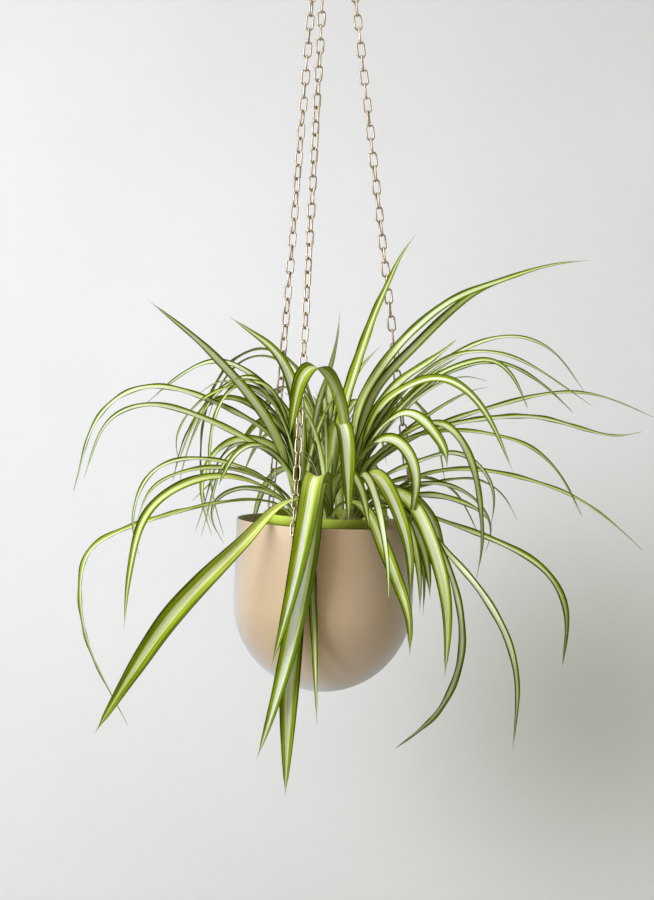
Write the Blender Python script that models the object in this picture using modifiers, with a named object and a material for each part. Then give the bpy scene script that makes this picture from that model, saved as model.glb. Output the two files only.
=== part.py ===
"""A potted spider plant in a hanging planter, in metres, +Z up.

The origin is the point inside the top ring where a hook bears. Three chains run down from that ring to three
holes under the rim of a round-bottomed pot. A tall nursery pot stands in it, full of potting soil, and four
crowns of arching leaves grow out of the soil.
"""

from math import atan2, cos, hypot, pi, radians, sin, sqrt

import bmesh
import bpy
import numpy as np
from mathutils import Matrix, Vector

MM = 0.001
CM = 0.01
GAP = 0.3 * MM  # between pieces that touch

# The outer pot: a straight wall over half a ball, hanging a little out of level.
POT_RADIUS = 90 * MM
POT_HEIGHT = 172 * MM
POT_WALL = 1.5 * MM
POT_TILT = radians(2.4)
POT_STEPS = 28
RIM_CENTRE = Vector((-4.6 * MM, 0, -700 * MM))  # from the hook's bearing point
HOLE_DROP = 8 * MM  # below the rim
HOLE_RADIUS = 2 * MM
HOLE_PLAY = 0.8 * MM
HOLE_CUTTER = 12 * MM  # longer than the wall is thick
# Where each chain's hole is, in degrees round the pot: 0 at +X, 90 at +Y.
CHAINS = {"chain_left": 130, "chain_front": 250, "chain_right": 10}

# The nursery pot, which stands on its bottom edge in the ball of the outer pot.
NURSERY_RADIUS = 63 * MM
NURSERY_FOOT_RADIUS = 48 * MM
NURSERY_PROUD = 7 * MM  # above the outer rim
NURSERY_WALL = 1.2 * MM
NURSERY_LIP = 9 * MM
NURSERY_STEPS = 24
DRAIN_RADIUS = 4 * MM
DRAIN_RING = 30 * MM
DRAIN_COUNT = 6

SOIL_LEVEL = -4 * MM  # from the outer rim
SOIL_HEAP = 2 * MM

# One link of chain, and the ring that the three chains hang from.
WIRE_RADIUS = 0.95 * MM
LINK_WIDTH = 9 * MM
LINK_PITCH = 13.7 * MM
LINK_BITE = 0.4 * MM  # how far neighbouring links are sunk into each other
RING_RADIUS = 12 * MM
RING_WIRE = 1.4 * MM
RING_SPREAD = 30  # degrees between the chains on the ring
RING_CENTRE = Vector((0, 0, RING_WIRE - RING_RADIUS))

# Each crown is a short stock in a hole in the soil, and its leaves fan out over its own side of the pot.
CROWN_RADIUS = 13 * MM
CROWN_DEPTH = 14 * MM
CROWN_RISE = 14 * MM
# Each stock's place from the rim's centre in cm, and the roll in degrees that its leaves share.
CROWNS = {
    "crown_front": (0.2, -2.5, 0),
    "crown_right": (2.5, 0.0, 30),
    "crown_back": (0.0, 2.6, 12),
    "crown_left": (-2.5, 0.1, -32),
}
ROLL_SPREAD = 14  # degrees by which neighbouring leaves differ

# Leaf blades: a folded strip with a keel below.
BLADE_THICK = 1.2 * MM
BLADE_STEP = 42 * MM
FOLD = radians(24)
TIP_WIDTH = 1.2 * MM
ROOT_REACH = 4 * MM  # from the crown's axis
ROOT_DEPTH = 6 * MM  # below the soil's level
COLLAR = 4 * MM  # height over the soil up to which a leaf stands upright

# Each leaf: heading in degrees, route as (reach from the crown, height over the rim, and for some how far it
# stands to the left of the heading) in cm, and width in mm. Some have a sideways swing of the tip in cm, a
# roll of the blade in degrees, and the share of the length where the blade is widest.
LEAVES = {
    "crown_left": [
        (196, ((3, 9), (9.2, 16.8), (15.7, 22.2)), 14, 0, -38),
        (168, ((0.3, 9), (0.9, 13.5), (2.6, 17), (5.3, 19), (7.6, 20.6)), 17, 0, -35),
        (172, ((1, 10), (3, 12.8), (6.6, 15.6), (9, 16.1), (12, 14.8), (16, 11.6)), 8),
        (178, ((1, 8.3), (3.5, 11.5), (6, 13.6), (8.2, 14.2), (10.5, 12.6)), 9),
        (184, ((2.4, 7.7), (7.6, 11.3), (14, 13.5), (17.5, 12.9), (20.5, 10.2), (22.8, 3)), 10),
        (191, ((1.3, 4.9), (6, 8.4), (13.6, 11.6), (16.5, 11.7), (19.5, 10.2), (21.9, 4.4)), 11),
        (162, ((0.5, 8), (3.3, 12), (6.4, 13.6), (8.7, 13.2), (11, 10.7), (12.8, 7.7), (13.9, 3.6)), 12),
        (175, ((0.5, 7.5), (3.7, 10.7), (6.3, 12.2), (8.1, 12.5), (9.8, 11.5), (11.3, 8.8), (12.8, 5)), 11),
        (204, ((2.9, 3.5), (5.5, 5.1), (10, 6.4), (14, 6.3), (16.5, 4.8), (18, 0.5), (17.2, -3)), 9),
        (199, ((1.4, 2.6), (4.2, 4.3), (8.5, 5.5), (13, 5), (15.7, 3.6), (17.1, 0.2)), 10),
        (211, ((3, 2.9), (6.8, 4.4), (10, 4.8), (14, 3.9), (17.5, 1.4), (19.2, -4), (19.9, -9.8)), 11,
         0, 0, 0.5),
        (193, ((2.4, 1.8), (4.2, 2.2), (7.2, 2.1), (10.6, 1.5), (17.7, -0.5), (21.2, -2.2), (21.9, -3.4),
               (22.3, -7), (21.5, -12), (17.6, -20.2)), 11, 0, 0, 0.5),
        (158, ((1, 7.5), (2.6, 10), (4.3, 10.2), (6.6, 7.4), (9.6, 3.9), (12.3, 1.5)), 14),
        (181, ((1, 5.5), (4, 8), (7, 8), (9, 6.5), (10, 4), (9.8, 1.2), (9, -1.6)), 14),
        (166, ((1, 4.5), (4.5, 7.6), (7.5, 7.4), (9.3, 4.5), (10, 2), (11.2, -1.4)), 11),
        (171, ((2, 2.2), (4, 3), (5.8, 3.3), (7.2, 3), (8.7, 2.2), (9.4, 1), (9.2, -0.4), (7.9, -2.5)), 8),
        (220, ((1.2, 4), (3.5, 7), (6, 8), (8.5, 7), (10.5, 4)), 11),
        (209, ((0.8, 6), (2, 10), (4, 13), (6.5, 14.5), (9, 14)), 10),
        (352, ((0.9, 4.6), (1, 6.7), (1.4, 9.7), (1.8, 11.7), (2.3, 13.3), (3.1, 15.8), (3.6, 17.9),
               (3.9, 21)), 11, 0, 0, 0.3),
    ],
    "crown_back": [
        (76, ((1, 4.5), (2.2, 8), (4, 10.8), (7, 12)), 11),
        (100, ((1, 4.5), (2.4, 8), (4.5, 11), (8, 12.2)), 10),
        (166, ((0.6, 7), (2, 13.2), (3.2, 15.4), (5.3, 17), (7.1, 17.3), (10, 15.9), (12, 12.9),
               (13, 9.5), (13.3, 6.5), (13.1, 2.6), (12.2, -1)), 10, 0, 0, 0.5),
        (172, ((0.9, 9.8), (3.5, 14.8), (4.8, 16.1), (7.2, 16.6), (9, 15.8), (11, 13.3), (12.4, 9.5)), 8),
        (48, ((0.8, 6), (2.5, 11), (5, 15), (8.5, 17.5)), 10),
        (52, ((1.5, 4), (5, 8.5), (10, 11.5), (15, 11.5), (19, 8), (21, 2)), 11),
        (66, ((1.5, 3), (5, 5.5), (9, 6.2), (13, 4), (15.5, -1), (16, -7)), 13),
        (72, ((1, 4), (3.5, 8), (8, 11), (13, 11.6), (18, 9), (21.5, 4)), 12),
        (84, ((1.5, 3), (5, 5.2), (9, 5), (12, 2), (13.5, -4), (13.8, -12)), 14),
        (90, ((1.5, 5), (4, 9), (8, 11.6), (13, 12), (19, 9)), 13),
        (97, ((1.5, 4), (5, 7.8), (10, 10), (15, 9), (19, 5), (21.5, -2)), 12),
        (105, ((1.5, 2.6), (5, 4.4), (8.5, 4.2), (11, 1.5), (12.5, -4), (12.6, -10)), 13),
        (112, ((1.2, 5), (3.2, 9), (7, 12), (12, 13), (17, 11), (20, 6)), 11),
        (119, ((1.5, 4), (5, 7), (10, 8.5), (15, 7), (19, 3)), 10),
        (126, ((1.5, 2.8), (5, 4.6), (9, 4.2), (12, 1.4), (14, -4)), 11),
        (94, ((0.6, 6), (1.6, 10), (3.5, 12.6), (6.5, 13.6)), 11),
        (58, ((1.5, 2.6), (5, 4.2), (8.5, 3.6), (11, 0.5), (12.5, -5)), 12),
        (86, ((1, 6), (2.6, 11), (5, 13.5), (8, 13.5), (10.5, 10)), 12),
    ],
    "crown_right": [
        (350, ((0.7, 11), (3.5, 16), (7, 19.8), (10.6, 22.4), (14.3, 23.8), (20, 25.6), (23.8, 26)), 15),
        (355, ((0.8, 8), (2.3, 13), (6.7, 17.9), (10.1, 21.2), (13.2, 23.4), (17.1, 24.6)), 12),
        (338, ((1, 7), (3.3, 12), (5.7, 14.4), (8.6, 16.2), (11.2, 18.3)), 14),
        (353, ((1, 6.5), (3, 10.5), (5.8, 13.5), (10.5, 16.8), (14, 18.3), (17, 18.5), (20, 17.2),
               (23.4, 12.8)), 9),
        (344, ((1, 6), (5, 12.4), (7.8, 15.2), (11, 16.8), (14.5, 17), (17.5, 16.1), (24.5, 11.7)), 10),
        (334, ((1, 5), (5, 11), (9.5, 14.8), (12.6, 16), (15.2, 16.4), (17.2, 15), (18.9, 11.6)), 8),
        (348, ((1, 5.5), (6, 12), (10.5, 15.2), (15, 16), (19, 14), (22.3, 11)), 7),
        (325, ((1, 6), (3.6, 11.6), (6, 13.2), (9, 14.4), (11.5, 14.4), (14.2, 12.9), (16.3, 10.4),
               (18.9, 5.4)), 13),
        (357, ((1.2, 4.5), (5, 7.5), (10.1, 10.1), (14.5, 11.5), (18.5, 12.6), (22.3, 13), (25.5, 12.4),
               (30.3, 10.4)), 9),
        (352, ((1.5, 5), (5.5, 8), (10.1, 9.7), (14.5, 10.4), (18.6, 10.5), (24, 9.1), (26.6, 8.6),
               (29, 9.2)), 9),
        (341, ((1.5, 4.5), (4.6, 7.7), (8, 8.9), (11.6, 9.2), (15.5, 8.7), (18.6, 7.7), (21.3, 5.3),
               (23.7, 1)), 9),
        (320, ((1, 5), (3, 8.6), (7, 11.2), (9.1, 10.4), (11, 8.6), (12.2, 7), (12, 5.6)), 12,
         0, 0, 0.8),
        (328, ((1.2, 5), (6, 8.6), (9, 10.1), (10.7, 10), (12.2, 8.8), (13.7, 6.3), (14.6, 2.5), (14.9, -2),
               (14.2, -5.2)), 13),
        (349, ((2.5, 2), (6.9, 4.5), (9.7, 5.2), (13.2, 5.2), (17.5, 4.4), (22, 2.9), (25.3, 0.9),
               (29.3, -2.6)), 9),
        (336, ((2, 3.5), (7.3, 6.1), (10.9, 7.2), (12.5, 6.8), (14.3, 5.3), (15.3, 3.2), (14.8, -0.5)), 8),
        (354, ((2.6, 2), (8.4, 3.8), (11, 4.4), (13.4, 4.1), (15.3, 2.7), (16.7, 0.1)), 8),
        (343, ((2.5, 1.3), (4.2, 1.5), (6.8, 1.1), (9, 0.3), (13.9, -1.3), (18.7, -3.5), (20.8, -5.5),
               (22, -8.5), (21.6, -13.8)), 9, 0, 0, 0.6),
        (322, ((2, 1.6), (5, 2), (7.4, 1), (12, -2.7), (15.2, -5.5), (17.5, -8.2), (19, -10.7),
               (20, -14.5), (19.5, -21.3)), 9, 0, 0, 0.6),
        (318, ((2, 2.2), (5, 3), (8, 1.9), (11.8, -2.5), (13.9, -7.5), (14.2, -12), (13.2, -15.1),
               (11.1, -18.3), (5.8, -22.4)), 9, 0, 0, 0.65),
        (314, ((2, 2.2), (5, 3.2), (7.2, 3.1), (9.2, 1.6), (11.2, -1.6), (12.8, -5.6), (13.3, -9.2),
               (12.9, -14.7)), 21, 0, 0, 0.5),
        (300, ((1.5, 3.8), (3.4, 5), (5, 4.9), (6.9, 3.6), (9.6, 0.6), (11.1, -2.6), (11.1, -7.4)), 21),
        (312, ((1.1, 5.8), (4.2, 8.3), (6.6, 8.3), (8.6, 6.8), (9.4, 4.4), (8.9, 1.8), (8, -1.2)), 18),
        (286, ((1.5, 3.8), (3.8, 5), (6.4, 4.5), (9.2, 2.2), (12, -2.4), (12.6, -5.4), (12.3, -7.9)), 10),
        (322, ((2, 2.6), (5, 2.6), (7.4, 1.2), (8.6, -2), (9, -5), (8.9, -9)), 10),
        (335, ((2, 3.2), (5.5, 3.1), (8.5, 1), (9.8, -2.5), (10.1, -5.5), (9.9, -7.6)), 13),
        (307, ((2, 2.4), (5, 2.6), (7.8, 1.4), (10, -1.6), (10.9, -5), (10.9, -8.4)), 12),
        (346, ((3, 2.6), (7, 3.8), (9.8, 3.8), (12.8, 2.3), (14, 0.6), (14.4, -0.8), (13.6, -3)), 9),
        (340, ((3, 1.9), (6.9, 2.7), (9, 2.8), (11.5, 2.2), (13.6, 1.4), (14.4, 0.4)), 9),
        (36, ((1, 4.5), (3, 7.5), (5.8, 10.3), (8.8, 12.3), (11.8, 13.8), (15.3, 14.3), (17.8, 13.7)), 8),
        (31, ((1, 4), (4, 7), (9, 10.3), (12, 11.8), (14.3, 12.8), (16.8, 13.2)), 7),
        (41, ((1, 5), (4, 9), (8.5, 12.8), (12, 15), (15.8, 16.6)), 9),
        (34, ((2, 2.4), (5, 3.6), (9, 4), (13, 2.4), (16, -2)), 10),
        (316, ((2, 1.6), (5, 2.2), (7.6, 1), (9.6, -1.8), (10.4, -4.8), (10.6, -7.3)), 11, 0, 0, 0.6),
    ],
    "crown_front": [
        (264, ((1.5, 2.8), (4.5, 4.8), (7, 5.2), (8, 4.2), (8.6, 1), (9.1, -5), (9.4, -13.2)), 24, -4.6),
        (265, ((1.5, 2.4), (4, 4), (6.2, 4.2), (7.3, 3), (7.7, 0), (8, -6), (8.3, -14),
               (8.8, -22.5)), 24, -6.3, 0, 0.45),
        (256, ((1.5, 2), (4, 3.2), (6.4, 3.1), (7.3, 1.6), (7.5, -2, -0.6), (7.6, -8, -1.5), (7.8, -16, -2),
               (7.9, -26.2, -2.35)), 23, 0, 0, 0.6),
        (256, ((1.5, 1.6), (4, 2.6), (6.2, 2.3), (7.1, 0.8), (7.3, -4), (7.3, -10), (7.6, -14),
               (8.2, -19)), 12, 0.9),
        (283, ((1, 4), (2.6, 7.8), (4.6, 10.1), (6.2, 10.2), (7.6, 8.6), (8.3, 4.5), (8.6, 0.4)), 23),
        (12, ((0.5, 6), (1.4, 10.5), (1.9, 12.5), (2.7, 15), (3.7, 18), (5, 21.5), (6.2, 24), (7.2, 26.3),
              (9, 28.8)), 14),
        (268, ((0.4, 4.5, 0.9), (0.6, 9.2, 1.7), (1.2, 12.1, 1.2), (2.2, 14.1, 0.5), (3.6, 15.5, -0.4),
               (4.6, 15.8, -1.3), (5.5, 15.3, -2.2), (6.1, 13.9, -2.7), (6.4, 12.3, -3), (6.6, 10.4, -3.3),
               (6.7, 8.5, -3.6)), 17, 0, -25),
        (219, ((1.8, 2), (4.5, 2.6), (7.6, 1.2), (9.5, -0.4), (15.6, -4.8), (19.6, -8.1), (23.4, -12.4),
               (28, -18.2)), 22, 0, -55, 0.62),
        (308, ((1.5, 1.9), (4, 2.4), (6.4, 1.4), (7.8, -0.6), (10.4, -4.5), (12.5, -8.2),
               (12.6, -12.1)), 15, 0, 20, 0.55),
        (296, ((1, 3), (2.5, 5), (5, 5.4), (7.4, 3.6), (9, 0.2)), 12),
        (228, ((0.8, 5), (2, 9), (4, 12), (6.5, 13.2)), 10),
    ],
}


def clear_scene():
    """Removes the objects that the scene opened with."""
    for obj in list(bpy.data.objects):
        bpy.data.objects.remove(obj)


def new_collection(name):
    group = bpy.data.collections.new(name)
    bpy.context.scene.collection.children.link(group)
    return group


def new_material(name, colour, roughness, metallic=0.0):
    material = bpy.data.materials.new(name)
    material.use_nodes = True
    shader = material.node_tree.nodes["Principled BSDF"]
    shader.inputs["Base Color"].default_value = (*colour, 1)
    shader.inputs["Roughness"].default_value = roughness
    shader.inputs["Metallic"].default_value = metallic
    return material


def add_mesh(name, mesh, group):
    obj = bpy.data.objects.new(name, mesh)
    group.objects.link(obj)
    return obj


def bmesh_object(name, bm, group):
    mesh = bpy.data.meshes.new(name)
    bm.to_mesh(mesh)
    bm.free()
    return add_mesh(name, mesh, group)


def shade(obj, angle=35):
    obj.data.shade_smooth()
    obj.data.set_sharp_from_angle(angle=radians(angle))


def turned(name, profile, steps, group):
    """A solid of revolution about +Z, from (radius, height) points that end down the outside."""
    mesh = bpy.data.meshes.new(name)
    mesh.from_pydata([(r, 0, z) for r, z in profile], [(i, i + 1) for i in range(len(profile) - 1)], [])
    obj = add_mesh(name, mesh, group)
    screw = obj.modifiers.new("turn", "SCREW")
    screw.steps = steps
    screw.render_steps = steps
    screw.use_merge_vertices = True
    screw.merge_threshold = 1e-5
    return obj


def cylinder(name, radius, depth, matrix, group, segments=12):
    """A cylinder centred on the matrix's origin, along its z axis."""
    bm = bmesh.new()
    bmesh.ops.create_cone(
        bm, cap_ends=True, segments=segments, radius1=radius, radius2=radius, depth=depth, matrix=matrix
    )
    return bmesh_object(name, bm, group)


def cut(obj, cutters):
    """Cuts every object of the cutters' collection out of the object."""
    boolean = obj.modifiers.new("cut", "BOOLEAN")
    boolean.operation = "DIFFERENCE"
    boolean.operand_type = "COLLECTION"
    boolean.collection = cutters
    boolean.solver = "EXACT"
    for cutter in cutters.objects:
        cutter.hide_render = True
        cutter.display_type = "WIRE"


def fuse(obj, pieces):
    """Joins every object of the pieces' collection into the object, and removes them."""
    boolean = obj.modifiers.new("fuse", "BOOLEAN")
    boolean.operation = "UNION"
    boolean.operand_type = "COLLECTION"
    boolean.collection = pieces
    boolean.solver = "EXACT"
    bpy.context.view_layer.update()
    graph = bpy.context.evaluated_depsgraph_get()
    mesh = bpy.data.meshes.new_from_object(obj.evaluated_get(graph))
    fill_hollows(mesh)
    obj.modifiers.clear()
    obj.data = mesh
    for piece in list(pieces.objects):
        bpy.data.objects.remove(piece)
    bpy.data.collections.remove(pieces)


def fill_hollows(mesh):
    """Deletes the inner faces that close off pockets between fused blades."""
    bm = bmesh.new()
    bm.from_mesh(mesh)
    unseen = set(bm.faces)
    inner = []
    while unseen:
        shell = {unseen.pop()}
        front = list(shell)
        while front:
            near = {face for edge in front.pop().edges for face in edge.link_faces} & unseen
            unseen -= near
            shell |= near
            front += near
        volume = sum(face.calc_center_median().dot(face.normal) * face.calc_area() for face in shell)
        if volume < 0:
            inner += shell
    bmesh.ops.delete(bm, geom=inner, context="FACES")
    bm.to_mesh(mesh)
    bm.free()


def arc(radius, centre_height, start, end, steps):
    """Points on a circle about the axis, by angle in degrees below the horizontal."""
    angles = np.radians(np.linspace(start, end, steps + 1))
    return [(radius * cos(a), centre_height - radius * sin(a)) for a in angles]


def around(heading, radius, height=0.0):
    return Vector((radius * cos(radians(heading)), radius * sin(radians(heading)), height))


def outer_pot(group, tilt):
    ball = POT_RADIUS - POT_HEIGHT  # height of the ball's centre under the rim
    inner = POT_RADIUS - POT_WALL
    bevel = POT_WALL / 3
    profile = arc(inner, ball, 90, 0, 6)
    profile += [(inner, -bevel), (inner + bevel, 0), (POT_RADIUS - bevel, 0), (POT_RADIUS, -bevel)]
    profile += arc(POT_RADIUS, ball, 0, 90, 6)
    pot = turned("outer_pot", profile, POT_STEPS, group)
    pot.parent = tilt
    holes = new_collection("chain_holes")
    for heading in CHAINS.values():
        matrix = Matrix.Rotation(radians(heading), 4, "Z") @ Matrix.Translation((POT_RADIUS, 0, -HOLE_DROP))
        matrix @= Matrix.Rotation(pi / 2, 4, "Y")
        cylinder(f"hole_{heading}", HOLE_RADIUS, HOLE_CUTTER, matrix, holes).parent = tilt
    cut(pot, holes)
    return pot


def nursery_foot():
    """Height of the nursery pot's underside, where its edge stands in the ball of the outer pot."""
    inner = POT_RADIUS - POT_WALL
    foot = NURSERY_FOOT_RADIUS + GAP
    return POT_RADIUS - POT_HEIGHT - sqrt(inner**2 - foot**2) + GAP


def nursery_pot(group, tilt):
    foot = nursery_foot()
    top = NURSERY_PROUD
    wall = NURSERY_WALL
    neck = NURSERY_RADIUS - 2.5 * wall
    profile = [
        (0, foot + wall),
        (NURSERY_FOOT_RADIUS - wall, foot + wall),
        (neck - wall, top - NURSERY_LIP),
        (NURSERY_RADIUS - wall, top - NURSERY_LIP + 2 * wall),
        (NURSERY_RADIUS - wall, top),
        (NURSERY_RADIUS, top),
        (NURSERY_RADIUS, top - NURSERY_LIP),
        (neck, top - NURSERY_LIP - wall),
        (NURSERY_FOOT_RADIUS, foot + 2 * wall),
        (NURSERY_FOOT_RADIUS - wall, foot),
        (0, foot),
    ]
    pot = turned("nursery_pot", profile, NURSERY_STEPS, group)
    pot.parent = tilt
    drains = new_collection("drain_holes")
    for i in range(DRAIN_COUNT):
        matrix = Matrix.Translation(around((i + 0.5) * 360 / DRAIN_COUNT, DRAIN_RING, foot))
        cylinder(f"drain_{i}", DRAIN_RADIUS, 10 * wall, matrix, drains, 8).parent = tilt
    cut(pot, drains)
    return pot


def soil(group, tilt):
    """Potting soil that fills the nursery pot, with a plain hole for each crown's stock."""
    bottom = nursery_foot() + NURSERY_WALL + GAP
    neck = NURSERY_RADIUS - 3.5 * NURSERY_WALL - GAP
    profile = [
        (0, SOIL_LEVEL + SOIL_HEAP),
        (neck / 2, SOIL_LEVEL + SOIL_HEAP),
        (neck - 1 * MM, SOIL_LEVEL),
        (neck - 1 * MM, SOIL_LEVEL - 1 * MM),
        (NURSERY_FOOT_RADIUS - NURSERY_WALL - GAP, bottom),
        (0, bottom),
    ]
    ground = turned("potting_soil", profile, NURSERY_STEPS, group)
    ground.parent = tilt
    holes = new_collection("crown_holes")
    for name in CROWNS:
        depth = 2 * CROWN_DEPTH  # the cutter stands on the hole's floor and out of the soil
        middle = crown_place(name) + Vector((0, 0, SOIL_LEVEL - CROWN_DEPTH - GAP + depth / 2))
        cylinder(f"{name}_hole", CROWN_RADIUS + GAP, depth, Matrix.Translation(middle), holes)
    cut(ground, holes)
    return ground


def crown_place(name):
    x, y, _ = CROWNS[name]
    return RIM_CENTRE + Vector((x * CM, y * CM, 0))


def curve_point(four, knots, t):
    """A point on the Catmull-Rom curve between the middle two of four points, by repeated blends."""
    a, b, c = (four[i].lerp(four[i + 1], (t - knots[i]) / (knots[i + 1] - knots[i])) for i in range(3))
    d = a.lerp(b, (t - knots[0]) / (knots[2] - knots[0]))
    e = b.lerp(c, (t - knots[1]) / (knots[3] - knots[1]))
    return d.lerp(e, (t - knots[1]) / (knots[2] - knots[1]))


def smooth_route(points, spacing):
    """Points at even steps along a smooth curve through the given points."""
    ends = [2 * points[0] - points[1], *points, 2 * points[-1] - points[-2]]
    fine = []
    for four in zip(ends, ends[1:], ends[2:], ends[3:]):
        knots = np.cumsum([0.0] + [sqrt((b - a).length) for a, b in zip(four, four[1:])])
        fine += [curve_point(four, knots, t) for t in np.linspace(knots[1], knots[2], 9)[:-1]]
    fine.append(points[-1])
    lengths = np.cumsum([0.0] + [(b - a).length for a, b in zip(fine, fine[1:])])
    steps = max(5, round(lengths[-1] / spacing))
    along = np.linspace(0, lengths[-1], steps + 1)
    places = np.array(fine)
    return [Vector([np.interp(s, lengths, places[:, k]) for k in range(3)]) for s in along]


def ease(t):
    t = min(max(t, 0.0), 1.0)
    return t * t * (3 - 2 * t)


def blade_width(share, width, widest):
    """Width at a share of the length: a narrow sheath, a wide part, then a long taper."""
    sheath = 0.42 + 0.58 * ease(share / widest)
    taper = 1 - max(0.0, (share - widest) / (1 - widest)) ** 1.8
    return max(TIP_WIDTH, width * sheath * taper)


def leaf_route(place, heading, route, swing):
    """The keel line of a leaf from inside its stock to its tip."""
    out = around(heading, 1)
    left = Vector((-out.y, out.x, 0))
    root = place + out * ROOT_REACH
    points = [root + Vector((0, 0, SOIL_LEVEL - ROOT_DEPTH)), root + Vector((0, 0, SOIL_LEVEL + COLLAR))]
    for reach, height, *aside in route:
        points.append(place + out * reach * CM + left * sum(aside) * CM + Vector((0, 0, height * CM)))
    keel = smooth_route(points, BLADE_STEP)
    last = len(keel) - 1
    return [point + left * swing * CM * (i / last) ** 2 for i, point in enumerate(keel)], left


def leaf_blade(name, place, group, lean, heading, route, width, swing=0, roll=0, widest=0.35):
    """A folded strip with a keel: left edge, groove, right edge and keel in each section."""
    keel, left = leaf_route(place, heading, route, swing)
    bm = bmesh.new()
    rings = []
    last = len(keel) - 1
    for i, point in enumerate(keel):
        share = i / last
        along = (keel[min(i + 1, last)] - keel[max(i - 1, 0)]).normalized()
        side = Matrix.Rotation(radians(lean + roll) * ease(share * 2.5), 3, along) @ left
        side = (side - side.dot(along) * along).normalized()
        up = along.cross(side)
        half = blade_width(share, width * MM, widest) / 2
        fold = FOLD * (1.3 - 0.8 * share)
        edge, lift = half * cos(fold) * side, half * sin(fold) * up
        keel_drop = BLADE_THICK * (1 - 0.4 * share) * up
        section = (point + edge + lift, point, point - edge + lift, point - keel_drop)
        rings.append([bm.verts.new(corner) for corner in section])
    for low, high in zip(rings, rings[1:]):
        for rim in (0, 2):
            for middle in (1, 3):
                bm.faces.new((low[rim], low[middle], high[middle]))
                bm.faces.new((low[rim], high[middle], high[rim]))
    for ring in (rings[0], rings[-1]):
        bm.faces.new((ring[0], ring[1], ring[3]))
        bm.faces.new((ring[1], ring[2], ring[3]))
    bmesh.ops.recalc_face_normals(bm, faces=bm.faces)
    return bmesh_object(name, bm, group)


def crown(name, group):
    """One crown: a short stock in the soil with its leaves fused to it."""
    place = crown_place(name)
    profile = [
        (0, SOIL_LEVEL + CROWN_RISE + 2 * MM),
        (0.7 * CROWN_RADIUS, SOIL_LEVEL + CROWN_RISE),
        (CROWN_RADIUS, SOIL_LEVEL + 2 * MM),
        (CROWN_RADIUS, SOIL_LEVEL - CROWN_DEPTH),
        (0, SOIL_LEVEL - CROWN_DEPTH),
    ]
    stock = turned(name, profile, 12, group)
    stock.location = place
    blades = new_collection(f"{name}_blades")
    for number, leaf in enumerate(LEAVES[name]):
        lean = CROWNS[name][2] + ROLL_SPREAD * sin(2.4 * number)
        leaf_blade(f"{name}_leaf_{number}", place, blades, lean, *leaf)
    fuse(stock, blades)
    return stock


def link_mesh(name, length):
    """A chain link in its local XZ plane, long along z; length is between its two end wires' centres."""
    middle = (LINK_WIDTH / 2 - WIRE_RADIUS) * sqrt(2)
    bpy.ops.mesh.primitive_torus_add(
        major_segments=4, minor_segments=4, major_radius=middle, minor_radius=WIRE_RADIUS
    )
    torus = bpy.context.object
    mesh = torus.data
    bpy.data.objects.remove(torus)
    mesh.name = name
    for vertex in mesh.vertices:  # opens the mitred corners to the wire's full width
        flat = hypot(vertex.co.x, vertex.co.y)
        vertex.co.xy *= (middle + (flat - middle) * sqrt(2)) / flat
    mesh.transform(Matrix.Rotation(pi / 2, 4, "X") @ Matrix.Rotation(pi / 4, 4, "Z"))
    stretch = (length - LINK_WIDTH) / 2 + WIRE_RADIUS
    for vertex in mesh.vertices:
        vertex.co.z += stretch if vertex.co.z > 0 else -stretch
    return mesh


def frame_of(origin, z_axis, x_axis):
    """The matrix with this origin and z axis, and its x axis as near the given one as it can be."""
    x_axis = (x_axis - x_axis.dot(z_axis) * z_axis).normalized()
    matrix = Matrix((x_axis, z_axis.cross(x_axis), z_axis)).transposed().to_4x4()
    matrix.translation = origin
    return matrix


def chain(name, heading, ring_angle, tilt_matrix, group):
    """A chain from the ring to its hole: each link turns a quarter, and a little more to suit the hole."""
    wire_height = HOLE_RADIUS - HOLE_DROP - HOLE_PLAY - WIRE_RADIUS
    hole_wire = around(heading, POT_RADIUS - POT_WALL / 2, wire_height)
    foot = tilt_matrix @ hole_wire
    on_ring = Vector((sin(radians(ring_angle)), 0, -cos(radians(ring_angle)))) * RING_RADIUS + RING_CENTRE
    down = (foot - on_ring).normalized()
    head = on_ring - down * (RING_WIRE + WIRE_RADIUS + GAP)
    overlap = 2 * WIRE_RADIUS - LINK_BITE
    span = (foot - head).length - overlap
    count = round(span / LINK_PITCH)
    pitch = span / count
    length = pitch + overlap
    start = frame_of(head, down, Vector((0, 1, 0)))
    radial = start.to_3x3().inverted() @ (tilt_matrix.to_3x3() @ around(heading, 1))
    end_angle = atan2(radial.y, radial.x)
    quarter = pi / 2
    twist = (end_angle - (count - 1) * quarter + quarter) % pi - quarter
    mesh = link_mesh(f"{name}_link", length)
    links = new_collection(f"{name}_links")
    for i in range(count):
        turn = i * quarter + twist * i / (count - 1)
        place = start @ Matrix.Translation((0, 0, i * pitch + length / 2)) @ Matrix.Rotation(turn, 4, "Z")
        add_mesh(f"{name}_{i}", mesh, links if i else group).matrix_world = place
    first = group.objects[f"{name}_0"]
    first.name = name
    fuse(first, links)
    return first


def hanging_ring(group):
    bpy.ops.mesh.primitive_torus_add(
        major_segments=16,
        minor_segments=6,
        major_radius=RING_RADIUS,
        minor_radius=RING_WIRE,
        location=RING_CENTRE,
        rotation=(pi / 2, 0, 0),
    )
    ring = bpy.context.object
    ring.name = "hanging_ring"
    for owner in list(ring.users_collection):
        owner.objects.unlink(ring)
    group.objects.link(ring)
    return ring


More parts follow.
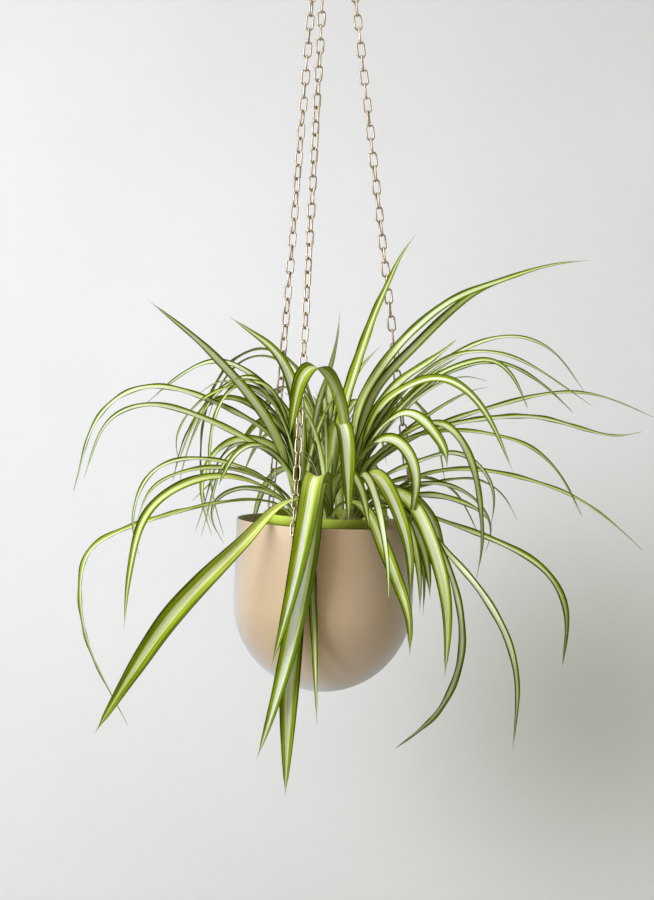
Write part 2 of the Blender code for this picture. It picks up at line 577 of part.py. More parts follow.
def main():
    clear_scene()
    group = new_collection("potted_spider_plant")
    blush = new_material("blush_powder_coat", (0.78, 0.63, 0.52), 0.55)
    lime = new_material("lime_plastic", (0.38, 0.55, 0.05), 0.4)
    earth = new_material("potting_soil", (0.05, 0.03, 0.02), 0.95)
    leaf_green = new_material("leaf", (0.18, 0.36, 0.04), 0.45)
    gold = new_material("champagne_gold", (0.83, 0.66, 0.43), 0.3, 1.0)

    tilt = bpy.data.objects.new("pot_hang", None)
    group.objects.link(tilt)
    tilt.location = RIM_CENTRE
    tilt.rotation_euler = (0, POT_TILT, 0)
    bpy.context.view_layer.update()
    tilt_matrix = tilt.matrix_world.copy()

    made = [
        (outer_pot(group, tilt), blush),
        (nursery_pot(group, tilt), lime),
        (soil(group, tilt), earth),
    ]
    made += [(crown(name, group), leaf_green) for name in CROWNS]
    for (name, heading), angle in zip(CHAINS.items(), (-RING_SPREAD, 0, RING_SPREAD)):
        made.append((chain(name, heading, angle, tilt_matrix, group), gold))
    made.append((hanging_ring(group), gold))
    for obj, material in made:
        obj.data.materials.clear()
        obj.data.materials.append(material)
        shade(obj)


if __name__ == "__main__":
    main()
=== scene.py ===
"""A variegated spider plant in a hanging planter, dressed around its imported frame.

Run it as a script. The frame gives the outer pot, its tilt and the point that the chains hang from, and every
piece is placed from those. Lengths are in metres unless a name says otherwise.
"""

import random
from math import atan2, cos, hypot, pi, radians, sin, sqrt, tau

import bmesh
import bpy
import numpy as np
from bpy.props import FloatProperty, FloatVectorProperty, IntProperty, PointerProperty
from bpy.types import Operator, Panel, PropertyGroup
from mathutils import Matrix, Vector, noise


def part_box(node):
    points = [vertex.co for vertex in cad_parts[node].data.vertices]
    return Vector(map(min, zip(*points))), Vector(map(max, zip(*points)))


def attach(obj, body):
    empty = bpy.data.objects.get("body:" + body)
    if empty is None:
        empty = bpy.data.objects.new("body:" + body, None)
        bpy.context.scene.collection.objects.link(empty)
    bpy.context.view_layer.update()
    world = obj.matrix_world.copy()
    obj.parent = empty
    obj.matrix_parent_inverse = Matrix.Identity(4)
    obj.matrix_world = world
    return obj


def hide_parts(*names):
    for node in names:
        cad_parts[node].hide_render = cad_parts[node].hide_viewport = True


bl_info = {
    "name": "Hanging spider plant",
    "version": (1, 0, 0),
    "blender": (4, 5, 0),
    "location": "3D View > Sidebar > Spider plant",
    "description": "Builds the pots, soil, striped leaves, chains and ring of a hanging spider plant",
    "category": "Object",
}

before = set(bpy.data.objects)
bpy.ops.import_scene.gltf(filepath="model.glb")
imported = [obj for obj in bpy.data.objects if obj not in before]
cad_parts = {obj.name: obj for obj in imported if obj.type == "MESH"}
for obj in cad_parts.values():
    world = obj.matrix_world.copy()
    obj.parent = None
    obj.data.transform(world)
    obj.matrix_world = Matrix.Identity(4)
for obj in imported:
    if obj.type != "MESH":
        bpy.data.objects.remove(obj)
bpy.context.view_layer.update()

MM = 0.001
CM = 0.01
GAP = 0.3 * MM
BODY = "root"

# The outer pot hangs a little out of level. Its wall stands on half a ball, which the frame's box places.
POT_TILT = radians(2.4)
POT_WALL = 1.5 * MM
POT_LOW, POT_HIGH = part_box("outer_pot")
POT_RADIUS = (POT_HIGH.y - POT_LOW.y) / 2
BALL_CENTRE = Vector((POT_LOW.x + POT_RADIUS * cos(POT_TILT), 0, POT_LOW.z + POT_RADIUS * cos(POT_TILT)))
RIM_HEIGHT = POT_HIGH.z - (POT_RADIUS - POT_WALL / 3) * sin(POT_TILT)
BALL_DROP = (RIM_HEIGHT - BALL_CENTRE.z) / cos(POT_TILT)  # from the rim down to the ball's centre
RIM_CENTRE = BALL_CENTRE + Vector((BALL_DROP * sin(POT_TILT), 0, BALL_DROP * cos(POT_TILT)))
HANG = Matrix.Translation(RIM_CENTRE) @ Matrix.Rotation(POT_TILT, 4, "Y")
BALL_STEPS = 28  # rows of faces up the ball
LIP_STEPS = 6

HOLE_DROP = 8 * MM
HOLE_RADIUS = 2 * MM
HOLE_DEPTH = 12 * MM  # of the cut, well through the wall
OUTWARD = Matrix.Rotation(pi / 2, 4, "Y")  # turns z to x
STUD_RADIUS = 1.1 * MM
STUD_REACH = 3.1 * MM  # how far the middle of its ball head stands off the pot
STUD_INSIDE = 1.3 * MM  # and how far its flat head reaches in
STUD_HEAD = 0.8 * MM
CHAINS = {"chain_left": 130, "chain_front": 250, "chain_right": 10}  # degrees round the pot

NURSERY_RADIUS = 63 * MM
NURSERY_FOOT_RADIUS = 48 * MM
NURSERY_PROUD = 7 * MM
NURSERY_WALL = 1.2 * MM
NURSERY_LIP = 9 * MM
RIB_DEPTH = 0.25 * MM
DRAIN_RADIUS = 4 * MM
DRAIN_RING = 30 * MM
DRAIN_COUNT = 6

SOIL_LEVEL = -4 * MM  # from the outer rim
SOIL_HEAP = 2 * MM
SOIL_LUMPS = ((1.2 * MM, 110, 0), (0.7 * MM, 320, 3))  # height, lumps in a metre, and layer of the noise
SOIL_RINGS = 44
SOIL_STEPS = 120
CRUMB_MARGIN = 7 * MM  # between the crumbs and the nursery pot's wall
CRUMB_SEED = 41
PERLITE_FROM = 0.93  # crumbs of this kind and over are white
PERLITE = (0.62, 0.58, 0.5)

WIRE_RADIUS = 0.95 * MM
LINK_WIDTH = 9 * MM
LINK_PITCH = 13.7 * MM
LINK_CLEAR = 0.25 * MM  # between the last link and the pot
RING_RADIUS = 12 * MM
RING_WIRE = 1.4 * MM
RING_SPREAD = 30  # degrees between the chains on the ring
RING_CENTRE = Vector((0, 0, RING_WIRE - RING_RADIUS))
ROSY_TINT = (0.93, 0.84, 0.78)
# tarnish and painted contact shadow where links meet
JOINT_TARNISH_AND_SHADE = (0.055, 0.035, 0.02)

CROWN_RADIUS = 13 * MM
CROWN_DEPTH = 14 * MM
CROWN_RISE = 16 * MM
STOCK_ROWS = 8
STOCK_STEPS = 40
STOCK_TAPER = 0.42
SHEATH_DULL = (0.36, 0.37, 0.12)
SHEATH_PALE = (0.50, 0.54, 0.14)
SHEATH_BROWN = (0.22, 0.13, 0.06)
# Each stock's place from the rim's centre in cm, and the roll in degrees that its leaves share.
CROWNS = {
    "crown_front": (0.2, -2.5, 0),
    "crown_right": (2.5, 0.0, 30),
    "crown_back": (0.0, 2.6, 12),
    "crown_left": (-2.5, 0.1, -32),
}
ROLL_SPREAD = 14
ROLL_RATE = 2.5  # a blade has rolled all its way at 1 / 2.5 of its length
FOLD = radians(24)
GROOVE_SOFTNESS = 0.22  # how round the groove's bottom is, as a share of half the width
EDGE_THICKNESS = 0.25  # as a share of the thickness beside the midrib
KEEL_REACH = 0.28  # of half the width
RIPPLED_HALF = 4 * MM  # a blade that is narrower than twice this ripples less
DARK_RIM = 1.4 * MM  # width of the dark line along a blade's edge
TIP_WIDTH = 1.2 * MM
TAPER = 1.8
BLUNT = 1.6  # what a blunt leaf adds to the taper
NARROW_LEAF = 15  # mm: some leaves under this are blunt
SHEATH_WIDTH = 0.42  # of the whole width
GOLDEN_TURN = 137.5  # degrees from one shoot to the next
ROOT_REACH = 4 * MM
ROOT_DEPTH = 6 * MM
COLLAR = 4 * MM
SAMPLES = 16  # between two points of a route
EASING_PASSES = 10
DRY_PALE = (0.30, 0.17, 0.07)
DRY_DARK = (0.06, 0.03, 0.015)

# Each leaf: heading in degrees, route as (reach from the crown, height over the rim, and for some how far it
# stands to the left of the heading) in cm, and width in mm. Some have a sideways swing of the tip in cm, a
# roll of the blade in degrees, and the share of the length where the blade is widest.
LEAVES = {
    "crown_left": [
        (196, ((3, 9), (9.2, 16.8), (15.7, 22.2)), 14, 0, -38),
        (168, ((0.3, 9), (0.9, 13.5), (2.6, 17), (5.3, 19), (7.6, 20.6)), 17, 0, -35),
        (172, ((1, 10), (3, 12.8), (6.6, 15.6), (9, 16.1), (12, 14.8), (16, 11.6)), 8),
        (178, ((1, 8.3), (3.5, 11.5), (6, 13.6), (8.2, 14.2), (10.5, 12.6)), 9),
        (184, ((2.4, 7.7), (7.6, 11.3), (14, 13.5), (17.5, 12.9), (20.5, 10.2), (22.8, 3)), 10),
        (191, ((1.3, 4.9), (6, 8.4), (13.6, 11.6), (16.5, 11.7), (19.5, 10.2), (21.9, 4.4)), 11),
        (162, ((0.5, 8), (3.3, 12), (6.4, 13.6), (8.7, 13.2), (11, 10.7), (12.8, 7.7), (13.9, 3.6)), 12),
        (175, ((0.5, 7.5), (3.7, 10.7), (6.3, 12.2), (8.1, 12.5), (9.8, 11.5), (11.3, 8.8), (12.8, 5)), 11),
        (204, ((2.9, 3.5), (5.5, 5.1), (10, 6.4), (14, 6.3), (16.5, 4.8), (18, 0.5), (17.2, -3)), 9),
        (199, ((1.4, 2.6), (4.2, 4.3), (8.5, 5.5), (13, 5), (15.7, 3.6), (17.1, 0.2)), 10),
        (211, ((3, 2.9), (6.8, 4.4), (10, 4.8), (14, 3.9), (17.5, 1.4), (19.2, -4), (19.9, -9.8)), 11,
         0, 0, 0.5),
        (193, ((2.4, 1.8), (4.2, 2.2), (7.2, 2.1), (10.6, 1.5), (17.7, -0.5), (21.2, -2.2), (21.9, -3.4),
               (22.3, -7), (21.5, -12), (17.6, -20.2)), 11, 0, 0, 0.5),
        (158, ((1, 7.5), (2.6, 10), (4.3, 10.2), (6.6, 7.4), (9.6, 3.9), (12.3, 1.5)), 14),
        (181, ((1, 5.5), (4, 8), (7, 8), (9, 6.5), (10, 4), (9.8, 1.2), (9, -1.6)), 14),
        (166, ((1, 4.5), (4.5, 7.6), (7.5, 7.4), (9.3, 4.5), (10, 2), (11.2, -1.4)), 11),
        (171, ((2, 2.2), (4, 3), (5.8, 3.3), (7.2, 3), (8.7, 2.2), (9.4, 1), (9.2, -0.4), (7.9, -2.5)), 8),
        (220, ((1.2, 4), (3.5, 7), (6, 8), (8.5, 7), (10.5, 4)), 11),
        (209, ((0.8, 6), (2, 10), (4, 13), (6.5, 14.5), (9, 14)), 10),
        (352, ((0.9, 4.6), (1, 6.7), (1.4, 9.7), (1.8, 11.7), (2.3, 13.3), (3.1, 15.8), (3.6, 17.9),
               (3.9, 21)), 11, 0, 0, 0.3),
    ],
    "crown_back": [
        (76, ((1, 4.5), (2.2, 8), (4, 10.8), (7, 12)), 11),
        (100, ((1, 4.5), (2.4, 8), (4.5, 11), (8, 12.2)), 10),
        (166, ((0.6, 7), (2, 13.2), (3.2, 15.4), (5.3, 17), (7.1, 17.3), (10, 15.9), (12, 12.9),
               (13, 9.5), (13.3, 6.5), (13.1, 2.6), (12.2, -1)), 10, 0, 0, 0.5),
        (172, ((0.9, 9.8), (3.5, 14.8), (4.8, 16.1), (7.2, 16.6), (9, 15.8), (11, 13.3), (12.4, 9.5)), 8),
        (48, ((0.8, 6), (2.5, 11), (5, 15), (8.5, 17.5)), 10),
        (52, ((1.5, 4), (5, 8.5), (10, 11.5), (15, 11.5), (19, 8), (21, 2)), 11),
        (66, ((1.5, 3), (5, 5.5), (9, 6.2), (13, 4), (15.5, -1), (16, -7)), 13),
        (72, ((1, 4), (3.5, 8), (8, 11), (13, 11.6), (18, 9), (21.5, 4)), 12),
        (84, ((1.5, 3), (5, 5.2), (9, 5), (12, 2), (13.5, -4), (13.8, -12)), 14),
        (90, ((1.5, 5), (4, 9), (8, 11.6), (13, 12), (19, 9)), 13),
        (97, ((1.5, 4), (5, 7.8), (10, 10), (15, 9), (19, 5), (21.5, -2)), 12),
        (105, ((1.5, 2.6), (5, 4.4), (8.5, 4.2), (11, 1.5), (12.5, -4), (12.6, -10)), 13),
        (112, ((1.2, 5), (3.2, 9), (7, 12), (12, 13), (17, 11), (20, 6)), 11),
        (119, ((1.5, 4), (5, 7), (10, 8.5), (15, 7), (19, 3)), 10),
        (126, ((1.5, 2.8), (5, 4.6), (9, 4.2), (12, 1.4), (14, -4)), 11),
        (94, ((0.6, 6), (1.6, 10), (3.5, 12.6), (6.5, 13.6)), 11),
        (58, ((1.5, 2.6), (5, 4.2), (8.5, 3.6), (11, 0.5), (12.5, -5)), 12),
        (86, ((1, 6), (2.6, 11), (5, 13.5), (8, 13.5), (10.5, 10)), 12),
    ],
    "crown_right": [
        (350, ((0.7, 11), (3.5, 16), (7, 19.8), (10.6, 22.4), (14.3, 23.8), (20, 25.6), (23.8, 26)), 15),
        (355, ((0.8, 8), (2.3, 13), (6.7, 17.9), (10.1, 21.2), (13.2, 23.4), (17.1, 24.6)), 12),
        (338, ((1, 7), (3.3, 12), (5.7, 14.4), (8.6, 16.2), (11.2, 18.3)), 14),
        (353, ((1, 6.5), (3, 10.5), (5.8, 13.5), (10.5, 16.8), (14, 18.3), (17, 18.5), (20, 17.2),
               (23.4, 12.8)), 9),
        (344, ((1, 6), (5, 12.4), (7.8, 15.2), (11, 16.8), (14.5, 17), (17.5, 16.1), (24.5, 11.7)), 10),
        (334, ((1, 5), (5, 11), (9.5, 14.8), (12.6, 16), (15.2, 16.4), (17.2, 15), (18.9, 11.6)), 8),
        (348, ((1, 5.5), (6, 12), (10.5, 15.2), (15, 16), (19, 14), (22.3, 11)), 7),
        (325, ((1, 6), (3.6, 11.6), (6, 13.2), (9, 14.4), (11.5, 14.4), (14.2, 12.9), (16.3, 10.4),
               (18.9, 5.4)), 13),
        (357, ((1.2, 4.5), (5, 7.5), (10.1, 10.1), (14.5, 11.5), (18.5, 12.6), (22.3, 13), (25.5, 12.4),
               (30.3, 10.4)), 9),
        (352, ((1.5, 5), (5.5, 8), (10.1, 9.7), (14.5, 10.4), (18.6, 10.5), (24, 9.1), (26.6, 8.6),
               (29, 9.2)), 9),
        (341, ((1.5, 4.5), (4.6, 7.7), (8, 8.9), (11.6, 9.2), (15.5, 8.7), (18.6, 7.7), (21.3, 5.3),
               (23.7, 1)), 9),
        (320, ((1, 5), (3, 8.6), (7, 11.2), (9.1, 10.4), (11, 8.6), (12.2, 7), (12, 5.6)), 12,
         0, 0, 0.8),
        (328, ((1.2, 5), (6, 8.6), (9, 10.1), (10.7, 10), (12.2, 8.8), (13.7, 6.3), (14.6, 2.5), (14.9, -2),
               (14.2, -5.2)), 13),
        (349, ((2.5, 2), (6.9, 4.5), (9.7, 5.2), (13.2, 5.2), (17.5, 4.4), (22, 2.9), (25.3, 0.9),
               (29.3, -2.6)), 9),
        (336, ((2, 3.5), (7.3, 6.1), (10.9, 7.2), (12.5, 6.8), (14.3, 5.3), (15.3, 3.2), (14.8, -0.5)), 8),
        (354, ((2.6, 2), (8.4, 3.8), (11, 4.4), (13.4, 4.1), (15.3, 2.7), (16.7, 0.1)), 8),
        (343, ((2.5, 1.3), (4.2, 1.5), (6.8, 1.1), (9, 0.3), (13.9, -1.3), (18.7, -3.5), (20.8, -5.5),
               (22, -8.5), (21.6, -13.8)), 9, 0, 0, 0.6),
        (322, ((2, 1.6), (5, 2), (7.4, 1), (12, -2.7), (15.2, -5.5), (17.5, -8.2), (19, -10.7),
               (20, -14.5), (19.5, -21.3)), 9, 0, 0, 0.6),
        (318, ((2, 2.2), (5, 3), (8, 1.9), (11.8, -2.5), (13.9, -7.5), (14.2, -12), (13.2, -15.1),
               (11.1, -18.3), (5.8, -22.4)), 9, 0, 0, 0.65),
        (314, ((2, 2.2), (5, 3.2), (7.2, 3.1), (9.2, 1.6), (11.2, -1.6), (12.8, -5.6), (13.3, -9.2),
               (12.9, -14.7)), 21, 0, 0, 0.5),
        (300, ((1.5, 3.8), (3.4, 5), (5, 4.9), (6.9, 3.6), (9.6, 0.6), (11.1, -2.6), (11.1, -7.4)), 21),
        (312, ((1.1, 5.8), (4.2, 8.3), (6.6, 8.3), (8.6, 6.8), (9.4, 4.4), (8.9, 1.8), (8, -1.2)), 18),
        (286, ((1.5, 3.8), (3.8, 5), (6.4, 4.5), (9.2, 2.2), (12, -2.4), (12.6, -5.4), (12.3, -7.9)), 10),
        (322, ((2, 2.6), (5, 2.6), (7.4, 1.2), (8.6, -2), (9, -5), (8.9, -9)), 10),
        (335, ((2, 3.2), (5.5, 3.1), (8.5, 1), (9.8, -2.5), (10.1, -5.5), (9.9, -7.6)), 13),
        (307, ((2, 2.4), (5, 2.6), (7.8, 1.4), (10, -1.6), (10.9, -5), (10.9, -8.4)), 12),
        (346, ((3, 2.6), (7, 3.8), (9.8, 3.8), (12.8, 2.3), (14, 0.6), (14.4, -0.8), (13.6, -3)), 9),
        (340, ((3, 1.9), (6.9, 2.7), (9, 2.8), (11.5, 2.2), (13.6, 1.4), (14.4, 0.4)), 9),
        (36, ((1, 4.5), (3, 7.5), (5.8, 10.3), (8.8, 12.3), (11.8, 13.8), (15.3, 14.3), (17.8, 13.7)), 8),
        (31, ((1, 4), (4, 7), (9, 10.3), (12, 11.8), (14.3, 12.8), (16.8, 13.2)), 7),
        (41, ((1, 5), (4, 9), (8.5, 12.8), (12, 15), (15.8, 16.6)), 9),
        (34, ((2, 2.4), (5, 3.6), (9, 4), (13, 2.4), (16, -2)), 10),
        (316, ((2, 1.6), (5, 2.2), (7.6, 1), (9.6, -1.8), (10.4, -4.8), (10.6, -7.3)), 11, 0, 0, 0.6),
    ],
    "crown_front": [
        (264, ((1.5, 2.8), (4.5, 4.8), (7, 5.2), (8, 4.2), (8.6, 1), (9.1, -5), (9.4, -13.2)), 24, -4.6),
        (265, ((1.5, 2.4), (4, 4), (6.2, 4.2), (7.3, 3), (7.7, 0), (8, -6), (8.3, -14),
               (8.8, -22.5)), 24, -6.3, 0, 0.45),
        (256, ((1.5, 2), (4, 3.2), (6.4, 3.1), (7.3, 1.6), (7.5, -2, -0.6), (7.6, -8, -1.5), (7.8, -16, -2),
               (7.9, -26.2, -2.35)), 23, 0, 0, 0.6),
        (256, ((1.5, 1.6), (4, 2.6), (6.2, 2.3), (7.1, 0.8), (7.3, -4), (7.3, -10), (7.6, -14),
               (8.2, -19)), 12, 0.9),
        (283, ((1, 4), (2.6, 7.8), (4.6, 10.1), (6.2, 10.2), (7.6, 8.6), (8.3, 4.5), (8.6, 0.4)), 23),
        (12, ((0.5, 6), (1.4, 10.5), (1.9, 12.5), (2.7, 15), (3.7, 18), (5, 21.5), (6.2, 24), (7.2, 26.3),
              (9, 28.8)), 14),
        (268, ((0.4, 4.5, 0.9), (0.6, 9.2, 1.7), (1.2, 12.1, 1.2), (2.2, 14.1, 0.5), (3.6, 15.5, -0.4),
               (4.6, 15.8, -1.3), (5.5, 15.3, -2.2), (6.1, 13.9, -2.7), (6.4, 12.3, -3), (6.6, 10.4, -3.3),
               (6.7, 8.5, -3.6)), 17, 0, -25),
        (219, ((1.8, 2), (4.5, 2.6), (7.6, 1.2), (9.5, -0.4), (15.6, -4.8), (19.6, -8.1), (23.4, -12.4),
               (28, -18.2)), 22, 0, -55, 0.62),
        (308, ((1.5, 1.9), (4, 2.4), (6.4, 1.4), (7.8, -0.6), (10.4, -4.5), (12.5, -8.2),
               (12.6, -12.1)), 15, 0, 20, 0.55),
        (296, ((1, 3), (2.5, 5), (5, 5.4), (7.4, 3.6), (9, 0.2)), 12),
        (228, ((0.8, 5), (2, 9), (4, 12), (6.5, 13.2)), 10),
    ],
}

FINE_LEAVES = {  # thin leaves that are left to the scene, in the same form
    "crown_left": [
        (186, ((0.6, 6), (4, 13.2), (7.6, 13.4), (10.7, 11.6), (12.5, 8.8), (12.7, 7.2), (12.1, 5.7)), 8),
        (177, ((0.6, 6), (4.5, 14.5), (6.9, 14.1), (9.2, 12), (10.8, 8.8), (11.9, 5.7), (12.4, 3.3)), 8),
        (188, ((0.5, 6), (3.4, 13.7), (6.3, 13.9), (8.3, 11.6), (9.2, 7.8), (9.1, 3.9), (8.5, 0.8),
               (7.8, -1.6)), 8),
        (198, ((0.6, 3.5), (3.4, 7.2), (6.3, 7.5), (8.3, 5.7), (9.2, 2.9), (9.8, 0.8), (10.5, -1.4)), 8),
    ],
}

# What a blade's vertices carry for its material.
LOOKS = ("leaf_tone", "leaf_stripe", "leaf_youth", "leaf_dry", "leaf_rim")
# Leaves that differ, by crown and number: one dark and nearly plain, as painted shade on a leaf that hangs in
# shadow, one with a long dry tip and one with a yellow stripe. Others turn more towards the front, are
# slimmer, or are widest in another place.
ODD_LEAVES = {
    # painted shade: this leaf hangs in shadow, so it is given dark green with hardly any stripe and no pale
    # base
    ("crown_left", 12): {"leaf_tone": 0, "leaf_stripe": 0.02, "leaf_youth": 0},
    ("crown_right", 0): {"roll": 40, "slim": 0.76},
    ("crown_right", 1): {"roll": 45, "slim": 0.85},
    ("crown_right", 2): {"roll": 40},
    ("crown_right", 5): {"roll": 35},
    ("crown_right", 7): {"roll": 35},
    ("crown_right", 19): {"slim": 0.76, "leaf_stripe": 0.5},
    ("crown_right", 20): {"slim": 0.9},
    ("crown_right", 22): {"leaf_dry": 0.93},
    ("crown_front", 4): {"slim": 0.8, "widest": 0.62, "sheath": 0.22},
    ("crown_front", 5): {"roll": 55},
    ("crown_front", 6): {"widest": 0.72, "sheath": 0.25},
    ("crown_front", 7): {"leaf_tone": 1.0, "leaf_stripe": 0.36, "sheath": 0.12},
}

STUDIO_FLOOR = -3.2
STUDIO_REACH = 7.5
STUDIO_CURVE = 2.5
STUDIO_TOP = 6.0
SHADE_PLACE = Vector((1.05, 7.0, -1.3))  # of the half shade painted on the wall, from the rim's centre
SHADE_RADIUS = 1.7
SHADE_TINT = (0.58, 0.59, 0.52)
# Each light: place and aim from the rim's centre, side, share of the key's power, colour, spread in degrees.
SOFTBOXES = {
    "window": ((-2.57, -1.96, 0.65), (0, 0, 0), 2.0, 1.0, (0.77, 0.855, 1.0), 180),
    "overhead": ((-0.6, -1.0, 2.6), (0, 0, 0), 1.8, 0.45, (1, 1, 1), 180),
    "wall_glow": ((-4.7, 3.0, 1.0), (-1.0, 7.4, 0.3), 2.5, 0.66, (0.87, 0.905, 1.0), 90),
}


# Settings


def colour_property(name, description, default):
    given = {"name": name, "description": description, "default": default}
    return FloatVectorProperty(**given, subtype="COLOR", min=0, max=1)


def length_property(name, description, default, low, high):
    given = {"name": name, "description": description, "default": default}
    return FloatProperty(**given, unit="LENGTH", min=low, max=high)


class PotSettings(PropertyGroup):
    """The outer pot and the nursery pot."""

    steps: IntProperty(name="Steps", description="Segments round the outer pot", default=128, min=24, max=256)
    blush: colour_property("Blush", "Powder coat in full light", (0.60, 0.425, 0.27))
    blush_shade: colour_property("Blush, deeper", "Powder coat where it is thicker", (0.53, 0.335, 0.115))
    lime: colour_property("Lime", "Plastic of the nursery pot", (0.60, 0.74, 0.075))
    ribs: IntProperty(name="Ribs", description="Grip ribs round the nursery pot", default=48, min=8, max=96)


class SoilSettings(PropertyGroup):
    """The potting soil and the crumbs that lie on it."""

    crumbs: IntProperty(name="Crumbs", description="Loose pieces on the soil", default=420, min=0, max=900)
    crumb_size: length_property("Crumb size", "Radius of a middling crumb", 1.3 * MM, 0.2 * MM, 4 * MM)
    dark: colour_property("Dark", "Moist peat", (0.022, 0.013, 0.008))
    light: colour_property("Light", "Bark and dry fibre", (0.12, 0.065, 0.032))


class LeafSettings(PropertyGroup):
    """The blades, their section and their colours."""

    columns: IntProperty(name="Columns", description="Faces across a blade", default=8, min=4, max=16)
    shoots: IntProperty(name="Shoots", description="Short inner leaves of a crown", default=11, min=0, max=20)
    row_step: length_property("Row step", "Length of one row of faces", 5 * MM, 2 * MM, 20 * MM)
    thickness: length_property("Thickness", "Of a blade beside its midrib", 0.55 * MM, 0.3 * MM, 2 * MM)
    keel: length_property("Keel", "How far the midrib stands out under a blade", 0.5 * MM, 0, 2 * MM)
    ripple: length_property("Ripple", "Wave of a blade's margins", 0.5 * MM, 0, 3 * MM)
    green: colour_property("Green", "Margins of a grown leaf", (0.235, 0.31, 0.003))
    fresh_green: colour_property("Fresh green", "Bands beside the stripe", (0.42, 0.50, 0.016))
    young_green: colour_property("Young green", "Leaf bases and pale lines", (0.76, 0.82, 0.22))
    deep_green: colour_property("Deep green", "Towards the edges", (0.06, 0.095, 0.0))
    rim_green: colour_property("Rim green", "The very edge", (0.03, 0.05, 0.0))
    under_green: colour_property("Under green", "Underside", (0.36, 0.43, 0.05))
    pale_grey: colour_property("Pale grey", "The stripe towards the tip", (0.66, 0.68, 0.55))
    cream: colour_property("Cream", "The stripe down the middle", (0.88, 0.87, 0.76))


class ChainSettings(PropertyGroup):
    """The links and the ring."""

    link_steps: IntProperty(name="Link steps", description="Segments round a link", default=16, min=8, max=48)
    wire_sides: IntProperty(name="Wire sides", description="Sides of the wire", default=8, min=6, max=24)
    askew: FloatProperty(name="Askew", description="Turn of a link, in degrees", default=16, min=0)
    gold: colour_property("Champagne gold", "Plating", (0.62, 0.51, 0.375))


class StageSettings(PropertyGroup):
    """The camera, the lights and the pale studio round them."""

    camera_place: FloatVectorProperty(
        name="Camera", description="From the rim", default=(0.0006, -2.39, 0.209), subtype="TRANSLATION"
    )
    camera_pitch: FloatProperty(name="Pitch", description="Downward", default=radians(3.3), subtype="ANGLE")
    lens: FloatProperty(name="Lens", description="In mm, on a 36 mm frame", default=95.5, min=20, max=300)
    key: FloatProperty(name="Key", description="Window light from the left", default=124, min=0, unit="POWER")
    fill: FloatProperty(name="Fill", description="Light from all round", default=0.4, min=0, max=5)
    fill_colour: colour_property("Fill colour", "Warmth of the fill", (1.0, 0.93, 0.72))
    backdrop: colour_property("Backdrop", "Studio wall and floor", (0.84, 0.832, 0.816))


SETTINGS = {
    "spider_pots": PotSettings,
    "spider_soil": SoilSettings,
    "spider_leaves": LeafSettings,
    "spider_chains": ChainSettings,
    "spider_stage": StageSettings,
}


# Shader helpers


class Nodes:
    """Short calls that add shader nodes to one tree and link them."""

    def __init__(self, tree):
        self.tree = tree

    def add(self, kind, inputs=None, **settings):
        made = self.tree.nodes.new(kind)
        for name, value in settings.items():
            setattr(made, name, value)
        for name, value in (inputs or {}).items():
            self.put(made.inputs[name], value)
        return made

    def put(self, socket, value):
        if isinstance(value, bpy.types.NodeSocket):
            self.tree.links.new(value, socket)
        elif hasattr(value, "__len__") and len(value) == 3 and socket.type == "RGBA":
            socket.default_value = (*value, 1)
        else:
            socket.default_value = value

    def coat(self, shader, colour, roughness, normal):
        self.put(shader.inputs["Base Color"], colour)
        self.put(shader.inputs["Roughness"], roughness)
        self.put(shader.inputs["Normal"], normal)

    def math(self, operation, a, b=0.0):
        made = self.add("ShaderNodeMath", operation=operation)
        self.put(made.inputs[0], a)
        self.put(made.inputs[1], b)
        return made.outputs[0]

    def plus(self, a, b):
        return self.math("ADD", a, b)

    def minus(self, a, b):
        return self.math("SUBTRACT", a, b)

    def times(self, a, b):
        return self.math("MULTIPLY", a, b)

    def steps(self, value, low, high, to_low=0.0, to_high=1.0):
        """The value eased from one number to another as it goes from low to high."""
        given = {"Value": value, "From Min": low, "From Max": high, "To Min": to_low, "To Max": to_high}
        return self.add("ShaderNodeMapRange", given, interpolation_type="SMOOTHSTEP").outputs["Result"]

    def mix(self, share, a, b):
        made = self.add("ShaderNodeMix", {"Factor": share}, data_type="RGBA")
        self.put(made.inputs[6], a)
        self.put(made.inputs[7], b)
        return made.outputs[2]

    def layers(self, colour, *others):
        """The colour with others laid over it in turn. Each is (share, colour)."""
        for share, other in others:
            colour = self.mix(share, colour, other)
        return colour

    def noise(self, vector, scale, detail=3.0, roughness=0.5):
        given = {"Vector": vector, "Scale": scale, "Detail": detail, "Roughness": roughness}
        return self.add("ShaderNodeTexNoise", given).outputs["Fac"]

    def combine(self, x, y, z):
        return self.add("ShaderNodeCombineXYZ", {"X": x, "Y": y, "Z": z}).outputs[0]

    def separate(self, vector):
        return self.add("ShaderNodeSeparateXYZ", {"Vector": vector}).outputs

    def object_place(self):
        return self.add("ShaderNodeTexCoord").outputs["Object"]

    def blade_chart(self):
        """A blade's own UV: (round its section, along its length)."""
        return self.separate(self.add("ShaderNodeUVMap", uv_map="blade").outputs["UV"])

    def attribute(self, name):
        return self.add("ShaderNodeAttribute", attribute_name=name).outputs["Fac"]

    def bump(self, height, distance, strength):
        given = {"Height": height, "Distance": distance, "Strength": strength}
        return self.add("ShaderNodeBump", given).outputs["Normal"]


def number_group(name, outputs, inputs=()):
    """A new node group whose sockets are plain numbers, as (tree, nodes)."""
    tree = bpy.data.node_groups.new(name, "ShaderNodeTree")
    for label, default in inputs:
        socket = tree.interface.new_socket(label, in_out="INPUT", socket_type="NodeSocketFloat")
        socket.default_value = default
    for label in outputs:
        tree.interface.new_socket(label, in_out="OUTPUT", socket_type="NodeSocketFloat")
    return tree, Nodes(tree)


# Materials


def new_material(name, **constants):
    """A material with a Principled BSDF and its plain numbers set, as (material, nodes, shader)."""
    material = bpy.data.materials.new(name)
    material.use_nodes = True
    shader = material.node_tree.nodes["Principled BSDF"]
    for socket, value in constants.items():
        shader.inputs[socket.replace("_", " ")].default_value = value
    return material, Nodes(material.node_tree), shader


